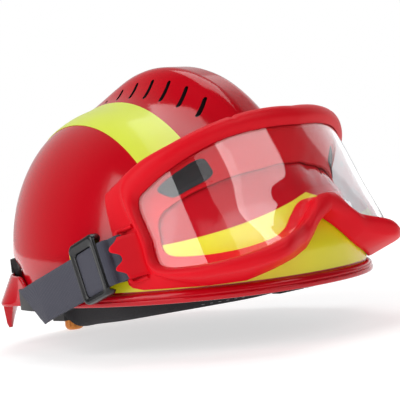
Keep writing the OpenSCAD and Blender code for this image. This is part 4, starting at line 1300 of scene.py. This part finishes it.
# %% Sweatband and nape pad
def pillow_strip(edge, thick, z0, z1, stations, puffs):
    """A padded strip: fat between its seams, thin at its edges."""
    u, v = np.meshgrid(np.linspace(0, 1, stations), np.linspace(0, 1, 15), indexing="ij")
    puff = (1 - np.abs(2 * v - 1) ** 4) ** 0.5 * (1 - np.abs(2 * u - 1) ** 40) ** 0.5
    puff = puff * (1 - 0.45 * np.exp(-(np.sin(math.pi * puffs * u) * 6) ** 2))
    z = mix(z0, z1, v)
    return sheet(edge(u, thick * (0.3 + 0.7 * puff), z), edge(u, 0 * puff, z))


SEAT, BROW_SPAN = 0.35, 74.5


def brow_edge(u, depth, z):
    c, s = plan_point(mix(-BROW_SPAN, BROW_SPAN, u))
    inset = 2 * (BAND_T + SEAT + depth)
    return stack((HEAD_L - inset) / 2 * c, (HEAD_W - inset) / 2 * s, z)


strip = pillow_strip(brow_edge, 2.8, BAND_Z + 2.3, BAND_Z + BAND_H - 2.3, 161, 12)
sweat = piece("brow_sweatband", strip, "helmet", knit, ["sweatband"], crease=80)

SUN_TEETH, RACK_PITCH, ARM_CENTRE = 108, 3.8, -78.0
DEDENDUM, ARM_BACK, HOUSING_WALL = 1.5, 1.4, 2.2
HOUSING_SPAN, HOUSING_TOP, HOUSING_FOOT = 17.0, -0.6, -19.0
HOUSING_R = SUN_TEETH * RACK_PITCH / math.pi / 2 - DEDENDUM - ARM_BACK - 0.3


def nape_edge(u, depth, z):
    a, r = np.radians(180 + HOUSING_SPAN * 0.97 * (2 * u - 1)), HOUSING_R - HOUSING_WALL - SEAT - depth
    return stack(ARM_CENTRE + r * np.cos(a), r * np.sin(a), z)


strip = pillow_strip(nape_edge, 4.6, HOUSING_FOOT + 1.2, HOUSING_TOP - 1.2, 61, 3)
nape = piece("nape_cushion", strip, "helmet", knit, ["nape_pad"], crease=80)

# %% [markdown]
# ## The size adjuster's knob
#
# The knob hangs under the nape, where a gloved hand finds it. It is domed at the foot and fluted. Twelve
# cutters could make the flutes, but a turned profile whose radius dips twelve times leaves a cleaner
# mesh.

# %% Knob
KNOB_D, KNOB_DROP, KNOB_STEPS, KNOB_DOME, SHAFT_R, SHAFT_Z = 16.0, 36.0, 240, 4, 3.0, -13.3
FLUTES, FLUTE_DEPTH = 12, 0.8


def knob():
    high = KNOB_DROP + HOUSING_FOOT - 0.6
    dome = np.linspace(0, math.pi / 2, 9)
    side = np.linspace(KNOB_DOME + 0.8, high - 1.2, 12)
    heights = np.concatenate([KNOB_DOME * (1 - np.cos(dome)), side, [high - 0.5, high - 0.1]])
    radii = KNOB_D / 2 + np.concatenate([KNOB_DOME * (np.sin(dome) - 1), 0 * side, [-0.4, -1]])
    flute = FLUTE_DEPTH * ease((np.cos(FLUTES * circle(KNOB_STEPS)) - 0.1) / 0.9)[:, None]
    radii = radii - flute * ease((heights - 1.5) / 3) * ease((high + 0.6 - heights) / 1.6)
    foot = np.tile((0.01, 0.0), (KNOB_STEPS, 1, 1))
    shaft = np.tile([(SHAFT_R, high), (SHAFT_R, KNOB_DROP + SHAFT_Z), (0.01, KNOB_DROP + SHAFT_Z)],
                    (KNOB_STEPS, 1, 1))
    profile = np.concatenate([foot, stack(radii, heights), shaft], 1) - (0, KNOB_DROP)
    return turned(profile, KNOB_STEPS, KNOB_X)


piece("adjuster_knob", knob(), "adjuster", knob_plastic, ["ratchet_knob"], crease=50)

# %% [markdown]
# ## The chin strap
#
# The chin strap starts at an anchor inside the shell, folds forward under the rim and closes with a side
# buckle in front. Its stitches are modelled as short round threads, since they stand up from the
# webbing.

# %% Stitches
thread_grey = moulded("stitching", "black_webbing", (0.16, 0.16, 0.17), (0.24, 0.24, 0.25), 0.7,
                      2500.0, 0.0001)
THREAD_L, THREAD_R = 2.2, 0.32


def joined(shapes):
    points, faces, start = [], [], 0
    for p, f in shapes:
        points.append(np.asarray(p))
        faces += [tuple(k + start for k in face) for face in f]
        start += len(p)
    return np.concatenate(points), faces


def stitches(spots, along, out):
    """Short rounded threads lying on a strap, one at each spot."""
    threads = []
    turn = circle(6)
    for spot, u, n in zip(spots, unit(np.array(along)), unit(np.array(out))):
        section = np.outer(np.cos(turn), np.cross(u, n)) + np.outer(np.sin(turn), n)
        rings = [spot + u * (THREAD_L / 2 * a) + THREAD_R * b * section
                 for a, b in ((-1, 0.25), (-0.7, 0.9), (0, 1.1), (0.7, 0.9), (1, 0.25))]
        threads.append(sweep(np.array(rings)))
    return joined(threads)


# %% Chin straps
CHIN_W, CHIN_T, ROW_Z = 15.0, 1.6, 5.5
chin_route = [(-26.5, -103.2, 2), (-21, -101.6, -8), (-11, -97, -15.5), (10, -95, -14), (35, -92, -12),
              (58, -85, -9.5), (78, -74, -7.5), (94, -58, -6), (105, -40, -5), (109, -20.4, -4)]
for side, sign in (("right", 1), ("left", -1)):
    line = through(chin_route, 8) * (1, sign, 1) + (0, 0, CHIN_W / 2)
    shape, lay = band(line, np.tile((0.0, 0.0, 1.0), (len(line), 1)), CHIN_W - 0.3, CHIN_T - 0.2)
    step = np.gradient(line, axis=0)
    out = unit(np.cross(step, (0, 0, 1.0)) * sign)
    strap = piece("chin_web_" + side, shape, "helmet", black_web, ["chin_strap_" + side], flow=lay,
                  crease=60, rides=side == "right")
    spots = [(k, w) for k in range(52, 64, 2) for w in (-ROW_Z, ROW_Z)] + [(k, 0) for k in (52, 63)]
    sewn = [line[k] + np.array((0, 0, w)) + out[k] * 0.75 for k, w in spots]
    shape = stitches(sewn, [step[k] for k, _ in spots], [out[k] for k, _ in spots])
    thread = piece("chin_stitch_" + side, shape, "helmet", thread_grey, rides=side == "right")
    if side == "left":
        ends = [tuple(metres((x, y, -4.0))) for x, y in ((30.0, 96.0), (109.0, 24.0))]
        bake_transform(strap)
        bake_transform(thread)

# %% [markdown]
# The buckle is a side-release one: a socket with a thumb window, and a plug with two springy arms and a
# guide. Both are mouldings with flat faces and eased edges, so each is put together from blocks.

# %% Buckle
BUCKLE_X, BUCKLE_Z, SOCKET_L, PLUG_L, BUCKLE_W, BUCKLE_T = 109.0, 4.0, 25.5, 13.0, 18.0, 8.0
SOCKET_Y, SOCKET_WALL, SOCKET_END, PLUG_Y, PRONG_L, PRONG_PITCH = 6.0, 1.9, 7.8, 6.4, 12.6, 4.8


def block(low, high, radius):
    """A box whose upright edges are rounded and whose top and foot are eased."""
    low, high = np.array(low, float), np.array(high, float)
    middle, size, eased = (low + high) / 2, high - low, radius * 0.5
    rings = []
    for z, inset in ((0, eased), (eased, 0.0), (size[2] - eased, 0.0), (size[2], eased)):
        outline = corner_loop(size[0] - 2 * inset, size[1] - 2 * inset, radius, 5) + middle[:2]
        rings.append(np.column_stack([outline, np.full(len(outline), low[2] + z)]))
    return sweep(np.array(rings))


x0, x1, y0 = BUCKLE_X - BUCKLE_T / 2, BUCKLE_X + BUCKLE_T / 2, SOCKET_Y - SOCKET_L
z0, z1 = BUCKLE_Z - BUCKLE_W / 2, BUCKLE_Z + BUCKLE_W / 2
socket = [block((x0, y0, z0), (x0 + SOCKET_WALL, SOCKET_Y, z1), 0.8),
          block((x1 - SOCKET_WALL, y0, z0), (x1, SOCKET_Y, z1), 0.8),
          block((x0, y0, z0), (x1, SOCKET_Y, z0 + SOCKET_WALL), 0.8),
          block((x0, y0, z1 - SOCKET_WALL), (x1, SOCKET_Y, z1), 0.8),
          block((x0, y0, z0), (x1, y0 + SOCKET_END, z1), 1.5)]
plug = [block((x0, PLUG_Y, z0), (x1, PLUG_Y + PLUG_L, z1), 1.8)]
for k in (-1, 0, 1):
    z = BUCKLE_Z + PRONG_PITCH * k
    plug.append(block((BUCKLE_X - 1.6, PLUG_Y - PRONG_L, z - 1.5), (BUCKLE_X + 1.6, 8, z + 1.5), 0.7))
for k in range(4):
    y = y0 + 10 + 2.2 * k
    socket.append(block((x1 - 0.2, y, z0 + 3), (x1, y + 1, z1 - 3), 0.1))
    y = PLUG_Y + 3 + 2.4 * k
    plug.append(block((x1 - 0.6, y, z0 + 2.5), (x1, y + 1.2, z1 - 2.5), 0.2))
piece("buckle_socket", joined(socket), "helmet", satin_black_and_slot_shade, ["chin_buckle_socket"])
piece("buckle_plug_body", joined(plug), "buckle_plug", satin_black_and_slot_shade, ["chin_buckle_plug"])

# %% [markdown]
# ## The parts that keep their solid
#
# The headband, clips, housing, toothed arms, anchors and hooks already have their true shape in the
# measured solids, so they only get a moulded finish.

# %% Finishes for the solids that stay
dress = {"foam": knit, "black_plastic": satin_black_and_slot_shade, "black_webbing": black_web,
         "knob_orange": knob_plastic}
for part in frame["record"]["subparts"]:
    node = frame["nodes"][part["node"]]
    if node.hide_render or part["material_slot"] not in dress:
        continue
    node.data.materials.clear()
    node.data.materials.append(dress[part["material_slot"]].material)
    print("kept solid:", part["node"])
